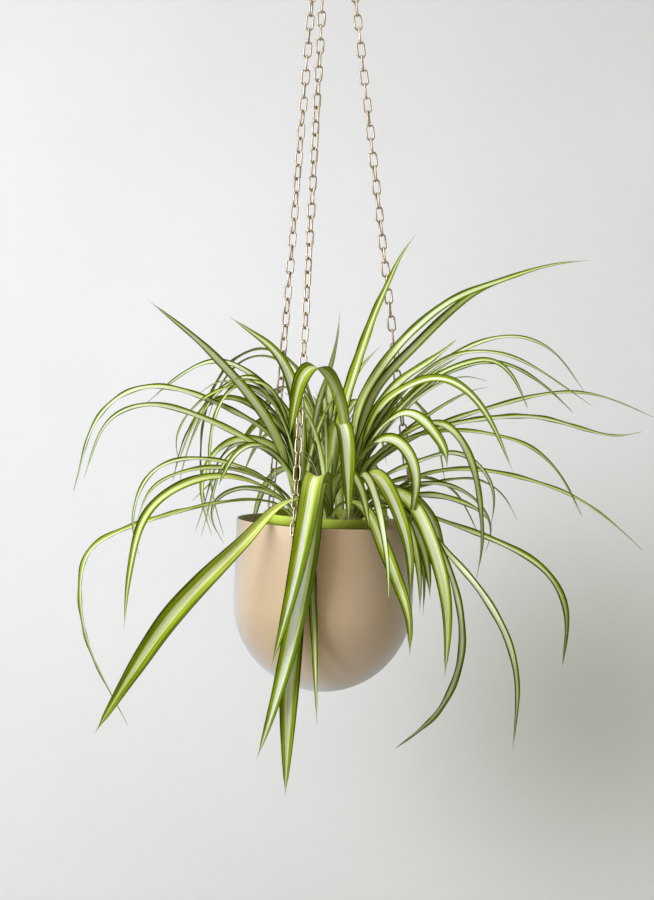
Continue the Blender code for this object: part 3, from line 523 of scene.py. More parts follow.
def surface_grain():
    """A node group: broad cloudy tone and fine grain over a moulded or coated surface."""
    scales = (("Cloud Scale", 14.0), ("Grain Scale", 900.0))
    tree, nodes = number_group("surface_grain", ("Cloud", "Grain"), scales)
    given = nodes.add("NodeGroupInput").outputs
    out = nodes.add("NodeGroupOutput")
    place = nodes.object_place()
    nodes.put(out.inputs["Cloud"], nodes.steps(nodes.noise(place, given["Cloud Scale"], 4), 0.3, 0.7))
    nodes.put(out.inputs["Grain"], nodes.noise(place, given["Grain Scale"], 2, 0.6))
    return tree


def grain_of(nodes, cloud_scale, grain_scale):
    """The surface_grain group's (cloud, grain) outputs in a material."""
    tree = bpy.data.node_groups.get("surface_grain") or surface_grain()
    scales = {"Cloud Scale": cloud_scale, "Grain Scale": grain_scale}
    group = nodes.add("ShaderNodeGroup", scales, node_tree=tree)
    return group.outputs["Cloud"], group.outputs["Grain"]


def tinted(colour, tint):
    return [channel * share for channel, share in zip(colour, tint)]


def blush_powder_coat(pots):
    """Matte powder coat: a fine orange peel, and a tone that drifts a little where the coat is thicker."""
    material, nodes, shader = new_material(
        "blush_powder_coat", Specular_IOR_Level=0.5, Sheen_Weight=1.0, Sheen_Roughness=0.5,
        Sheen_Tint=(0.72, 0.86, 1.0, 1),
    )
    cloud, grain = grain_of(nodes, 9, 1100)
    thicker = nodes.plus(nodes.times(cloud, 0.35), nodes.times(grain, 0.25))
    nodes.coat(
        shader,
        nodes.mix(thicker, pots.blush, pots.blush_shade),
        nodes.steps(grain, 0.2, 0.8, 0.44, 0.54),
        nodes.bump(grain, 0.12 * MM, 0.35),
    )
    return material


def lime_plastic(pots):
    """Thin moulded plastic with a soft gloss."""
    material, nodes, shader = new_material("lime_plastic", Subsurface_Weight=0.15, Subsurface_Scale=0.003)
    cloud, grain = grain_of(nodes, 30, 700)
    nodes.coat(
        shader,
        nodes.mix(nodes.times(cloud, 0.5), pots.lime, tinted(pots.lime, (0.72, 0.72, 0.72))),
        nodes.steps(grain, 0.2, 0.8, 0.34, 0.48),
        nodes.bump(grain, 0.1 * MM, 0.2),
    )
    return material


def potting_soil(soil):
    """Moist peat with paler fibre, rough at every scale."""
    material, nodes, shader = new_material("potting_soil", Specular_IOR_Level=0.2)
    cloud, grain = grain_of(nodes, 160, 1500)
    lump = nodes.noise(nodes.object_place(), 420, 5, 0.65)
    fibre = nodes.times(nodes.steps(lump, 0.45, 0.75), nodes.steps(cloud, 0, 1, 0.35, 1))
    nodes.coat(
        shader,
        nodes.mix(fibre, soil.dark, soil.light),
        nodes.steps(grain, 0.2, 0.8, 0.8, 1.0),
        nodes.bump(nodes.plus(lump, nodes.times(grain, 0.4)), 0.8 * MM, 0.8),
    )
    return material


def soil_crumb(soil):
    """Crumbs of peat and bark, and a few white grains of perlite, told apart by the crumb_kind attribute."""
    material, nodes, shader = new_material("soil_crumb", Specular_IOR_Level=0.25)
    grain = grain_of(nodes, 200, 1800)[1]
    kind = nodes.attribute("crumb_kind")
    earth = nodes.mix(nodes.steps(kind, 0.1, 0.85), soil.dark, soil.light)
    colour = nodes.mix(nodes.steps(kind, 0.9, PERLITE_FROM), earth, PERLITE)
    nodes.coat(
        shader,
        nodes.mix(nodes.steps(grain, 0.35, 0.75, 0, 0.45), colour, soil.dark),
        nodes.steps(grain, 0.2, 0.8, 0.75, 0.98),
        nodes.bump(grain, 0.4 * MM, 0.7),
    )
    return material


def champagne_gold(chains):
    """Satin plating on steel wire, rosier and rougher in patches, and dark where links meet: tarnish with
    painted contact shadow.
    """
    material, nodes, shader = new_material("champagne_gold", Metallic=1.0)
    cloud, grain = grain_of(nodes, 60, 2200)
    plated = nodes.mix(nodes.times(cloud, 0.7), chains.gold, tinted(chains.gold, ROSY_TINT))
    nodes.coat(
        shader,
        # tarnish and painted contact shadow on the inner curve at each link's ends, where the next link sits
        nodes.mix(nodes.times(nodes.attribute("link_joint"), 0.9), plated, JOINT_TARNISH_AND_SHADE),
        nodes.steps(nodes.plus(cloud, grain), 0.5, 1.5, 0.27, 0.42),
        nodes.bump(grain, 0.05 * MM, 0.3),
    )
    return material


def leaf_veins():
    """A node group for a blade: how far a point is from the midrib, and fine lines that run along it."""
    lines = {"Hair Lines": (42, 5.0), "Fine Lines": (11, 2.0), "Broad Lines": (4.5, 1.2)}  # across, along
    tree, nodes = number_group("leaf_veins", ("From Midrib", "Along", *lines))
    out = nodes.add("NodeGroupOutput")
    chart = nodes.blade_chart()
    across = nodes.minus(nodes.times(nodes.math("FRACT", nodes.times(chart["X"], 2)), 2), 1)
    apart = nodes.times(nodes.attribute("leaf_tone"), 37)  # gives each leaf lines of its own
    nodes.put(out.inputs["From Midrib"], nodes.math("ABSOLUTE", across))
    nodes.put(out.inputs["Along"], chart["Y"])
    for name, (rate, stretch) in lines.items():
        line = nodes.combine(nodes.times(across, rate), nodes.times(chart["Y"], stretch), apart)
        nodes.put(out.inputs[name], nodes.noise(line, 1.0, 3, 0.6))
    return tree


def striped_leaf(leaves):
    """Green margins with dark edges, a cream stripe with green lines, a pale base, and tips that dry out."""
    material, nodes, shader = new_material(
        "leaf", Subsurface_Weight=0.15, Subsurface_Scale=0.0005, Subsurface_Radius=(0.8, 1.0, 0.15),
        Specular_IOR_Level=0.2, Specular_Tint=(0.9, 1.0, 0.3, 1),
    )
    veins = nodes.add("ShaderNodeGroup", node_tree=leaf_veins()).outputs
    midrib, along, hair, fine, broad = (
        veins[name] for name in ("From Midrib", "Along", "Hair Lines", "Fine Lines", "Broad Lines")
    )
    tone, stripe, youth = (nodes.attribute(name) for name in ("leaf_tone", "leaf_stripe", "leaf_youth"))
    mix, steps, plus, minus, times = nodes.mix, nodes.steps, nodes.plus, nodes.minus, nodes.times
    uneven = minus(broad, 0.5)
    base = times(steps(along, 0.15, 0.6, 1.0, 0.0), youth)

    # The stripe's edge wavers, and it narrows to the tip.
    narrowed = times(stripe, steps(along, 0.65, 1.0, 1.0, 0.35))
    inside = minus(narrowed, plus(midrib, times(uneven, 0.42)))

    # Green margins: each leaf has its own tone, young and yellow at the base, dark towards the edge.
    # Yellow-green bands border the stripe.
    outer = plus(midrib, times(uneven, 0.4))
    green = nodes.layers(
        leaves.green,
        (steps(tone, 0.3, 1.0, 0.0, 0.8), leaves.fresh_green),
        (times(base, 0.9), leaves.young_green),
        (steps(along, 0.3, 0.9, 0.0, 0.4), leaves.deep_green),
        (times(steps(outer, 0.62, 1.0), steps(base, 0, 1, 0.95, 0.1)), leaves.deep_green),
        (steps(inside, -0.22, -0.02, 0.0, 0.6), leaves.fresh_green),
    )

    # The stripe: cream, greyer towards the tip and yellower at the base, with green lines in it.
    pale = mix(steps(along, 0.25, 0.7), leaves.cream, leaves.pale_grey)
    cream = nodes.layers(
        mix(steps(along, 0.25, 0.6), leaves.young_green, pale),
        (steps(inside, 0.0, 0.07), pale),
        (times(base, 0.75), leaves.young_green),
        (steps(tone, 0.7, 1.0, 0.0, 0.45), leaves.young_green),
        (times(steps(fine, 0.53, 0.56), steps(along, 0.0, 1.0, 0.6, 0.85)), leaves.fresh_green),
    )

    # Dark and pale lines run the length of the margins, the very edge is a thin dark rim, the underside is
    # duller, and the tip is brown where it has dried.
    margin = times(steps(inside, -0.12, 0.0, 1.0, 0.15), steps(base, 0, 1, 0.8, 0.1))
    underside = nodes.math("GREATER_THAN", nodes.blade_chart()["X"], 0.5)
    dry_from = plus(nodes.attribute("leaf_dry"), times(fine, 0.012))
    dry = steps(minus(along, dry_from), -0.004, 0.004)
    colour = nodes.layers(
        green,
        (steps(inside, -0.03, 0.03), cream),
        (times(steps(fine, 0.44, 0.48, 1.0, 0.0), margin), leaves.deep_green),
        (times(steps(fine, 0.57, 0.6), times(margin, 0.6)), leaves.fresh_green),
        (steps(minus(midrib, nodes.attribute("leaf_rim")), -0.08, 0.05, 0.0, 0.94), leaves.rim_green),
        (times(underside, 0.35), leaves.under_green),
        (dry, mix(fine, DRY_PALE, DRY_DARK)),
    )
    rough = plus(steps(hair, 0.25, 0.75, 0.36, 0.52), times(dry, 0.35))
    nodes.coat(shader, colour, rough, nodes.bump(plus(hair, times(fine, 1.4)), 0.2 * MM, 0.6))
    return material


def leaf_sheath():
    """The short stock: pale sheaths of old leaves, brown where they have dried."""
    material, nodes, shader = new_material("leaf_sheath", Specular_IOR_Level=0.35)
    cloud, grain = grain_of(nodes, 140, 900)
    place = nodes.separate(nodes.object_place())
    streak = nodes.noise(nodes.combine(place["X"], place["Y"], nodes.times(place["Z"], 0.12)), 700, 3)
    pale = nodes.mix(nodes.steps(streak, 0.35, 0.7), SHEATH_DULL, SHEATH_PALE)
    nodes.coat(
        shader,
        nodes.mix(nodes.times(cloud, 0.45), pale, SHEATH_BROWN),
        nodes.steps(grain, 0.2, 0.8, 0.5, 0.75),
        nodes.bump(streak, 0.3 * MM, 0.6),
    )
    return material


def studio_paint(stage):
    """The studio's matte wall and floor, faintly uneven, with a patch of half shade painted on the wall."""
    material, nodes, shader = new_material("studio_paint", Specular_IOR_Level=0.1)
    cloud, grain = grain_of(nodes, 0.7, 40)
    paint = nodes.mix(cloud, stage.backdrop, tinted(stage.backdrop, (0.96, 0.96, 0.96)))
    # painted shade: the wall's colour darkens and greys towards SHADE_PLACE
    patch = nodes.add("ShaderNodeVectorMath", operation="DISTANCE")
    nodes.put(patch.inputs[0], nodes.object_place())
    patch.inputs[1].default_value = RIM_CENTRE + SHADE_PLACE
    shade = nodes.steps(patch.outputs["Value"], 0.0, SHADE_RADIUS, 1.0, 0.0)
    paint = nodes.mix(nodes.times(shade, shade), paint, tinted(stage.backdrop, SHADE_TINT))
    nodes.put(shader.inputs["Base Color"], paint)
    nodes.put(shader.inputs["Roughness"], nodes.steps(grain, 0.2, 0.8, 0.85, 0.95))
    return material


# Mesh helpers


def meshed(name, bm):
    """The bmesh as a mesh. The bmesh is freed."""
    mesh = bpy.data.meshes.new(name)
    bm.to_mesh(mesh)
    bm.free()
    return mesh


def placed(name, data):
    """A new object of the scene, at the origin."""
    obj = bpy.data.objects.new(name, data)
    bpy.context.scene.collection.objects.link(obj)
    return obj


def finished(name, shape, materials, node, sharp=40):
    """Makes a mesh or bmesh a piece that rides on the frame, and stands for a CAD node where one is named."""
    mesh = meshed(name, shape) if isinstance(shape, bmesh.types.BMesh) else shape
    for material in materials:
        mesh.materials.append(material)
    mesh.shade_smooth()
    mesh.set_sharp_from_angle(angle=radians(sharp))
    obj = placed(name, mesh)
    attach(obj, BODY)
    if node:
        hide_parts(node)


def whirled(bm, geometry, axis, steps):
    """Turns the geometry of a bmesh all the way round an axis through the origin."""
    bmesh.ops.spin(bm, geom=geometry, axis=axis, cent=(0, 0, 0), angle=tau, steps=steps, use_merge=True)


def spun(profile, steps):
    """A bmesh turned about +Z from (radius, height) points, closed and facing out."""
    bm = bmesh.new()
    points = [bm.verts.new((r, 0, z)) for r, z in profile]
    edges = [bm.edges.new(pair) for pair in zip(points, points[1:])]
    whirled(bm, points + edges, (0, 0, 1), steps)
    bmesh.ops.remove_doubles(bm, verts=bm.verts, dist=1e-6)
    bmesh.ops.dissolve_degenerate(bm, dist=1e-7, edges=bm.edges)
    bmesh.ops.recalc_face_normals(bm, faces=bm.faces)
    return bm


def arc(radius, centre_height, start, end):
    """Points on a circle about the axis, by angle in degrees below the horizontal."""
    angles = np.radians(np.linspace(start, end, BALL_STEPS + 1))
    return [(radius * cos(a), centre_height - radius * sin(a)) for a in angles]


def lip(inner, outer, height):
    """Points of a half-round lip on top of a wall, from the inside over to the outside."""
    radius = (outer - inner) / 2
    middle = (outer + inner) / 2
    angles = np.linspace(pi, 0, LIP_STEPS + 1)
    return [(middle + radius * cos(a), height - radius + radius * sin(a)) for a in angles]


def around(heading, radius, height=0.0):
    return Vector((radius * cos(radians(heading)), radius * sin(radians(heading)), height))


def pierced(name, bm, holes):
    """The bmesh's mesh with cylinders cut out of it. Each hole is (matrix, radius, depth)."""
    cutter = bmesh.new()
    for matrix, radius, depth in holes:
        bmesh.ops.create_cone(
            cutter, cap_ends=True, segments=24, radius1=radius, radius2=radius, depth=depth, matrix=matrix
        )
    body = placed(name + "_blank", meshed(name + "_blank", bm))
    drill = placed(name + "_drill", meshed(name + "_drill", cutter))
    cut = body.modifiers.new("holes", "BOOLEAN")
    cut.object = drill
    cut.operation = "DIFFERENCE"
    cut.solver = "EXACT"
    bpy.context.view_layer.update()
    made = bpy.data.meshes.new_from_object(body.evaluated_get(bpy.context.evaluated_depsgraph_get()))
    for helper in (body, drill):
        bpy.data.meshes.remove(helper.data)  # and the object with it
    made.name = name
    return made


# The pots


def hole_place(heading):
    """Where a chain's hole is on the level pot's wall. x points out of the wall."""
    return Matrix.Rotation(radians(heading), 4, "Z") @ Matrix.Translation((POT_RADIUS, 0, -HOLE_DROP))


def outer_pot(pots):
    """The thin blush shell, with its rounded bare rim and three chain holes."""
    ball = -BALL_DROP
    inner = POT_RADIUS - POT_WALL
    profile = arc(inner, ball, 90, 0)
    profile += [(inner, ball * share) for share in (0.8, 0.6, 0.4, 0.2)]
    profile += lip(inner, POT_RADIUS, 0)
    profile += [(POT_RADIUS, ball * share) for share in (0.2, 0.4, 0.6, 0.8)]
    profile += arc(POT_RADIUS, ball, 0, 90)
    holes = [(hole_place(heading) @ OUTWARD, HOLE_RADIUS, HOLE_DEPTH) for heading in CHAINS.values()]
    mesh = pierced("outer_pot_shell", spun(profile, pots.steps), holes)
    mesh.transform(HANG)
    finished("outer_pot_shell", mesh, [blush_powder_coat(pots)], "outer_pot")


def nursery_foot():
    """Height of the nursery pot's underside, where its edge stands in the ball of the outer pot."""
    inner = POT_RADIUS - POT_WALL
    foot = NURSERY_FOOT_RADIUS + GAP
    return -BALL_DROP - sqrt(inner**2 - foot**2) + GAP


def nursery_pot(pots):
    """The lime pot: a tapered wall, a ribbed collar with a rounded lip, and drain holes in its floor."""
    foot = nursery_foot()
    wall = NURSERY_WALL
    neck = NURSERY_RADIUS - 2.5 * wall
    under_lip = NURSERY_PROUD - NURSERY_LIP
    raised, standing = 0.6 * NURSERY_FOOT_RADIUS, 0.66 * NURSERY_FOOT_RADIUS  # the floor's middle is raised
    profile = [
        (0, foot + 1.6 * wall),
        (raised, foot + 1.6 * wall),
        (standing, foot + wall),
        (NURSERY_FOOT_RADIUS - 2 * wall, foot + wall),
        (NURSERY_FOOT_RADIUS - wall, foot + 2 * wall),
        (neck - wall, under_lip),
        (NURSERY_RADIUS - wall, under_lip + 2 * wall),
        *lip(NURSERY_RADIUS - wall, NURSERY_RADIUS, NURSERY_PROUD),
        (NURSERY_RADIUS, under_lip + 0.6 * wall),
        (NURSERY_RADIUS - 0.5 * wall, under_lip),
        (neck, under_lip - wall),
        (NURSERY_FOOT_RADIUS, foot + 2 * wall),
        (NURSERY_FOOT_RADIUS - wall, foot),
        (standing, foot),
        (raised, foot + 0.6 * wall),
        (0, foot + 0.6 * wall),
    ]
    bm = spun(profile, 2 * pots.ribs)
    for vertex in bm.verts:  # grip ribs: every second column of the wall stands proud
        flat = hypot(vertex.co.x, vertex.co.y)
        turn = atan2(vertex.co.y, vertex.co.x) / tau * 2 * pots.ribs
        outside = vertex.co.z < under_lip - wall / 2 and flat > NURSERY_FOOT_RADIUS - wall / 2
        if outside and round(turn) % 2:
            vertex.co.xy *= 1 - RIB_DEPTH / flat
    drains = [
        (Matrix.Translation(around((i + 0.5) * 360 / DRAIN_COUNT, DRAIN_RING, foot)), DRAIN_RADIUS, 10 * wall)
        for i in range(DRAIN_COUNT)
    ]
    mesh = pierced("nursery_pot_shell", bm, drains)
    mesh.transform(HANG)
    finished("nursery_pot_shell", mesh, [lime_plastic(pots)], "nursery_pot")


# The soil


def soil_top(x, y):
    """Height of the soil over the rim's level at a place from the pot's axis: a low uneven heap."""
    share = min(1.0, hypot(x, y) / NURSERY_RADIUS)
    heap = SOIL_HEAP * (1 - share * share)
    lumps = sum(size * noise.noise(Vector((x, y, layer)) * rate) for size, rate, layer in SOIL_LUMPS)
    return SOIL_LEVEL + heap + lumps


def soil_body(soil):
    """The soil: its side and floor turned to fit the nursery pot, and its top a disc of fine uneven rings."""
    bottom = nursery_foot() + 1.6 * NURSERY_WALL + GAP
    reach = NURSERY_RADIUS - 3.5 * NURSERY_WALL - GAP - 0.6 * MM
    profile = [(reach * i / SOIL_RINGS, SOIL_LEVEL) for i in range(SOIL_RINGS + 1)]
    profile += [(reach, SOIL_LEVEL - 3 * MM), (NURSERY_FOOT_RADIUS - 2 * NURSERY_WALL, bottom + 2 * MM)]
    profile += [(NURSERY_FOOT_RADIUS - 3 * NURSERY_WALL, bottom), (0, bottom)]
    bm = spun(profile, SOIL_STEPS)
    for vertex in bm.verts:
        if vertex.co.z > SOIL_LEVEL - MM:
            vertex.co.z = soil_top(vertex.co.x, vertex.co.y)
    bm.transform(HANG)
    finished("soil_body", bm, [potting_soil(soil)], "potting_soil", 180)


def soil_crumbs(soil):
    """Loose peat, bark and perlite on the soil, clear of the stocks."""
    rng = random.Random(CRUMB_SEED)
    noise.seed_set(CRUMB_SEED)  # noise_vector takes its seed from the clock otherwise
    bm = bmesh.new()
    kind = bm.verts.layers.float.new("crumb_kind")
    stocks = [Vector(stock[:2]) * CM for stock in CROWNS.values()]
    laid = 0
    while laid < soil.crumbs:
        heading, out = rng.uniform(0, 360), (NURSERY_RADIUS - CRUMB_MARGIN) * sqrt(rng.random())
        place = around(heading, out)
        size = soil.crumb_size * rng.uniform(0.5, 1.6) ** 1.5
        if any((place.xy - stock).length < CROWN_RADIUS + size for stock in stocks):
            continue
        laid += 1
        value = rng.random()
        squash = Vector((1, rng.uniform(0.5, 1), rng.uniform(0.4, 0.8)))
        if value > PERLITE_FROM:
            squash = Vector((1, 1, 0.9))
        turn = Matrix.Rotation(rng.uniform(0, tau), 4, "Z") @ Matrix.Rotation(rng.uniform(-0.5, 0.5), 4, "X")
        lift = Matrix.Translation((place.x, place.y, soil_top(place.x, place.y) + 0.25 * size))
        made = bmesh.ops.create_icosphere(
            bm, subdivisions=1, radius=size, matrix=lift @ turn @ Matrix.Diagonal((*squash, 1))
        )["verts"]
        for vertex in made:
            vertex[kind] = value
            vertex.co += 0.22 * size * noise.noise_vector(vertex.co * 900)  # knocks it out of round
    bm.transform(HANG)
    finished("soil_crumbs", bm, [soil_crumb(soil)], None, 50)


# The leaves


def curve_point(four, knots, t):
    """A point on the Catmull-Rom curve between the middle two of four points, by repeated blends."""
    a, b, c = (four[i].lerp(four[i + 1], (t - knots[i]) / (knots[i + 1] - knots[i])) for i in range(3))
    d = a.lerp(b, (t - knots[0]) / (knots[2] - knots[0]))
    e = b.lerp(c, (t - knots[1]) / (knots[3] - knots[1]))
    return d.lerp(e, (t - knots[1]) / (knots[2] - knots[1]))


def smooth_route(points, spacing):
    """Points at even steps along a smooth curve through the given points, with its kinks eased out."""
    ends = [2 * points[0] - points[1], *points, 2 * points[-1] - points[-2]]
    fine = []
    for four in zip(ends, ends[1:], ends[2:], ends[3:]):
        knots = np.cumsum([0.0] + [sqrt((b - a).length) for a, b in zip(four, four[1:])])
        fine += [curve_point(four, knots, t) for t in np.linspace(knots[1], knots[2], SAMPLES + 1)[:-1]]
    fine.append(points[-1])
    lengths = np.cumsum([0.0] + [(b - a).length for a, b in zip(fine, fine[1:])])
    steps = max(5, round(lengths[-1] / spacing))
    along = np.linspace(0, lengths[-1], steps + 1)
    places = np.array(fine)
    even = np.array([[np.interp(s, lengths, places[:, k]) for k in range(3)] for s in along])
    for _ in range(EASING_PASSES):
        even[1:-1] += 0.25 * (even[:-2] + even[2:] - 2 * even[1:-1])
    return [Vector(point) for point in even]


def ease(t):
    t = min(max(t, 0.0), 1.0)
    return t * t * (3 - 2 * t)


def blade_width(share, width, widest, narrow, blunt):
    """Width at a share of the length: a narrow sheath, a wide part, then a long taper, shorter if blunt."""
    sheath = narrow + (1 - narrow) * ease(share / widest)
    taper = 1 - max(0.0, (share - widest) / (1 - widest)) ** (TAPER + blunt)
    return max(TIP_WIDTH, width * sheath * taper)


def leaf_route(place, heading, route, swing, spacing):
    """The groove line of a leaf from inside its stock to its tip, and the direction to its left."""
    out = around(heading, 1)
    left = Vector((-out.y, out.x, 0))
    root = place + out * ROOT_REACH
    points = [root + Vector((0, 0, SOIL_LEVEL - ROOT_DEPTH)), root + Vector((0, 0, SOIL_LEVEL + COLLAR))]
    for reach, height, *aside in route:
        points.append(place + out * reach * CM + left * sum(aside) * CM + Vector((0, 0, height * CM)))
    groove = smooth_route(points, spacing)
    last = len(groove) - 1
    return [point + left * swing * CM * (i / last) ** 2 for i, point in enumerate(groove)], left


def section_point(column, columns, half, fold, thick, keel):
    """(sideways, upward) of a section's point: over the top from the left margin, and back underneath."""
    top = column <= columns
    s = 1 - 2 * column / columns if top else 2 * (column - columns) / columns - 1
    a = abs(s)
    soft = GROOVE_SOFTNESS
    rise = half * sin(fold) * (sqrt(a * a + soft * soft) - soft) / (sqrt(1 + soft * soft) - soft)
    if not top:
        body = thick * (EDGE_THICKNESS + (1 - EDGE_THICKNESS) * (1 - a * a))
        rise -= body + keel * max(0.0, 1 - a / KEEL_REACH) ** 2
    return half * cos(fold) * s, rise


def add_leaf(bm, place, leaves, lean, look, heading, route, width, swing=0, roll=0, widest=0.35):
    """Adds one blade to the bmesh: a grid wrapped into a lens-shaped section and laid along its route."""
    groove, left = leaf_route(place, heading, route, swing, leaves.row_step)
    last = len(groove) - 1
    widest = look.get("widest", widest)
    rounded = 1 if look["blunt"] else 4  # rows that round the tip off
    rows = []
    for i, point in enumerate(groove):
        share = i / last
        along = (groove[min(i + 1, last)] - groove[max(i - 1, 0)]).normalized()
        rolled = radians(lean + roll + look["roll"]) * ease(share * ROLL_RATE)
        side = Matrix.Rotation(rolled, 3, along) @ left
        side = (side - side.dot(along) * along).normalized()
        half = blade_width(share, width * look["slim"] * MM, widest, look["sheath"], look["blunt"]) / 2
        if last - i < rounded:
            half *= (last - i) / rounded
        fold = FOLD * (1.3 - 0.8 * share)  # flatter towards the tip, and thinner
        body = 1 if i < last else 0
        thick = leaves.thickness * (1 - 0.5 * share) * body
        keel = leaves.keel * (1 - 0.75 * share) * body
        rows.append((point, side, along.cross(side), half, fold, thick, keel))
    columns = leaves.columns
    grid = bmesh.ops.create_grid(bm, x_segments=2 * columns, y_segments=last, size=0.5, calc_uvs=True)
    blade = grid["verts"]
    looks = {key: bm.verts.layers.float[key] for key in LOOKS}
    for vertex in blade:
        column = round((vertex.co.x + 0.5) * 2 * columns)
        row = round((vertex.co.y + 0.5) * last)
        point, side, up, half, fold, thick, keel = rows[row]
        across, rise = section_point(column, columns, half, fold, thick, keel)
        s = across / max(half * cos(fold), 1e-9)
        wave = sin(row * leaves.row_step * look["ripple_rate"] + look["phase"] + 1.9 * s) * leaves.ripple
        rise += wave * s * s * min(1.0, half / RIPPLED_HALF)
        vertex.co = point + side * across + up * rise
        for key, layer in looks.items():
            vertex[layer] = look[key]
    bmesh.ops.remove_doubles(bm, verts=blade, dist=1e-6)


def shoot(name, number):
    """A short inner leaf, nearly upright, that isn't one of the CAD's: its heading, route and width."""
    rng = random.Random(f"{name} shoot {number}")
    height, lean = rng.uniform(7, 14), rng.uniform(0.15, 0.5)
    reach = height * lean
    route = ((0.25, 0.2), (0.25 * reach, 0.5 * height), (0.65 * reach, 0.85 * height), (reach, height))
    return GOLDEN_TURN * number + rng.uniform(-25, 25), route, rng.uniform(5, 8.5)


def leaf_look(name, number, width):
    """A leaf's own tone, stripe, pale base, dry tip, ripple and outline."""
    rng = random.Random(f"{name} {number}")
    look = {
        "leaf_tone": rng.random(),
        "leaf_stripe": rng.uniform(0.26, 0.52),
        "leaf_youth": rng.uniform(0.75, 1.0),
        "leaf_rim": 1 - 2 * DARK_RIM / (width * MM),
        "leaf_dry": 1 - (rng.uniform(0.01, 0.04) if rng.random() < 0.35 else -0.1),
        "ripple_rate": rng.uniform(90, 190),
        "phase": rng.uniform(0, tau),
        "blunt": rng.choice((0, 0, BLUNT)) if width < NARROW_LEAF else 0,
        "sheath": SHEATH_WIDTH,
        "roll": 0,
        "slim": 1,
    }
    look.update(ODD_LEAVES.get((name, number), {}))
    return look


def crown_stock(place):
    """The bmesh of a crown's short stock: a tapered stub with uneven sheaths, rooted in the soil."""
    bottom = SOIL_LEVEL - CROWN_DEPTH
    profile = [(0, bottom), (CROWN_RADIUS, bottom), (CROWN_RADIUS, SOIL_LEVEL - 4 * MM)]
    for i in range(STOCK_ROWS + 1):
        taper = 1 - STOCK_TAPER * ease(i / STOCK_ROWS)
        profile.append((CROWN_RADIUS * taper, SOIL_LEVEL + CROWN_RISE * i / STOCK_ROWS))
    stock = spun([*profile, (0, SOIL_LEVEL + CROWN_RISE)], STOCK_STEPS)
    for vertex in stock.verts:
        flat = hypot(vertex.co.x, vertex.co.y)
        if flat > MM and vertex.co.z > SOIL_LEVEL - 5 * MM:
            turn = atan2(vertex.co.y, vertex.co.x)
            vertex.co.xy *= 1 + 0.07 * sin(9 * turn + 500 * vertex.co.z) - 0.06  # nine sheaths wind up it
    stock.transform(Matrix.Translation(place))
    return stock


def crown_piece(name, leaves, materials):
    """One crown: its stock and all its leaves, as one mesh with two materials."""
    x, y, roll = CROWNS[name]
    place = RIM_CENTRE + Vector((x * CM, y * CM, 0))
    bm = bmesh.new()
    bm.loops.layers.uv.new("blade")
    for key in LOOKS:
        bm.verts.layers.float.new(key)
    for number, leaf in enumerate(LEAVES[name] + FINE_LEAVES.get(name, [])):
        lean = roll + ROLL_SPREAD * sin(2.4 * number)
        add_leaf(bm, place, leaves, lean, leaf_look(name, number, leaf[2]), *leaf)
    for number in range(leaves.shoots):
        blade = shoot(name, number)
        look = leaf_look(name + " shoot", number, blade[2])
        look["leaf_youth"] = 1.0
        add_leaf(bm, place, leaves, roll, look, *blade)
    bmesh.ops.recalc_face_normals(bm, faces=bm.faces)
    blades = len(bm.faces)
    stock = meshed(name + "_stock", crown_stock(place))
    bm.from_mesh(stock)
    bpy.data.meshes.remove(stock)
    bm.faces.ensure_lookup_table()
    for face in bm.faces[blades:]:
        face.material_index = 1
    finished(name + "_leaves", bm, materials, name, 60)


# The chains and the ring


def link_bmesh(length, chains):
    """An oblong link in the XZ plane, long along z, with length between its end wires' centres."""
    bend = LINK_WIDTH / 2 - WIRE_RADIUS
    place = Matrix.Rotation(pi / chains.link_steps, 4, "Y") @ Matrix.Translation((bend, 0, 0))
    bm = bmesh.new()
    wire = bmesh.ops.create_circle(bm, segments=chains.wire_sides, radius=WIRE_RADIUS, matrix=place)["verts"]
    whirled(bm, wire + bm.edges[:], (0, 1, 0), chains.link_steps)
    bmesh.ops.recalc_face_normals(bm, faces=bm.faces)
    stretch = length / 2 - bend
    # link_joint marks the inner curve at the ends, for tarnish and painted contact shadow where links meet
    joint = bm.verts.layers.float.new("link_joint")
    for vertex in bm.verts:
        inward = bend - hypot(vertex.co.x, vertex.co.z)
        vertex[joint] = min(1.0, max(0.0, inward / WIRE_RADIUS)) * min(1.0, abs(vertex.co.z) / (0.6 * bend))
        vertex.co.z += stretch if vertex.co.z > 0 else -stretch
    return bm


def frame_of(origin, z_axis, x_axis):
    """The matrix with this origin and z axis, and its x axis as near the given one as it can be."""
    x_axis = (x_axis - x_axis.dot(z_axis) * z_axis).normalized()
    matrix = Matrix((x_axis, z_axis.cross(x_axis), z_axis)).transposed().to_4x4()
    matrix.translation = origin
    return matrix


def add_stud(bm, heading):
    """The stud that carries a chain: a pin through its hole, with a flat head inside and a ball outside."""
    pin = HANG @ hole_place(heading) @ OUTWARD
    inside = -POT_WALL - STUD_INSIDE
    parts = []
    for radius, outer_radius, depth, middle in (
        (STUD_RADIUS, STUD_RADIUS, STUD_REACH - inside, (STUD_REACH + inside) / 2),
        (2.4 * STUD_RADIUS, 2.7 * STUD_RADIUS, STUD_HEAD, inside + STUD_HEAD / 2),
    ):
        parts += bmesh.ops.create_cone(
            bm, cap_ends=True, segments=20, radius1=radius, radius2=outer_radius, depth=depth,
            matrix=pin @ Matrix.Translation((0, 0, middle)),
        )["verts"]
    ball = pin @ Matrix.Translation((0, 0, STUD_REACH))
    bmesh.ops.create_uvsphere(bm, u_segments=20, v_segments=12, radius=1.9 * STUD_RADIUS, matrix=ball)
    rims = {edge for vertex in parts for edge in vertex.link_edges if edge.calc_face_angle(0) > 1}
    bmesh.ops.bevel(
        bm, geom=list(rims), offset=0.2 * MM, segments=2, affect="EDGES", profile=0.5, material=-1
    )


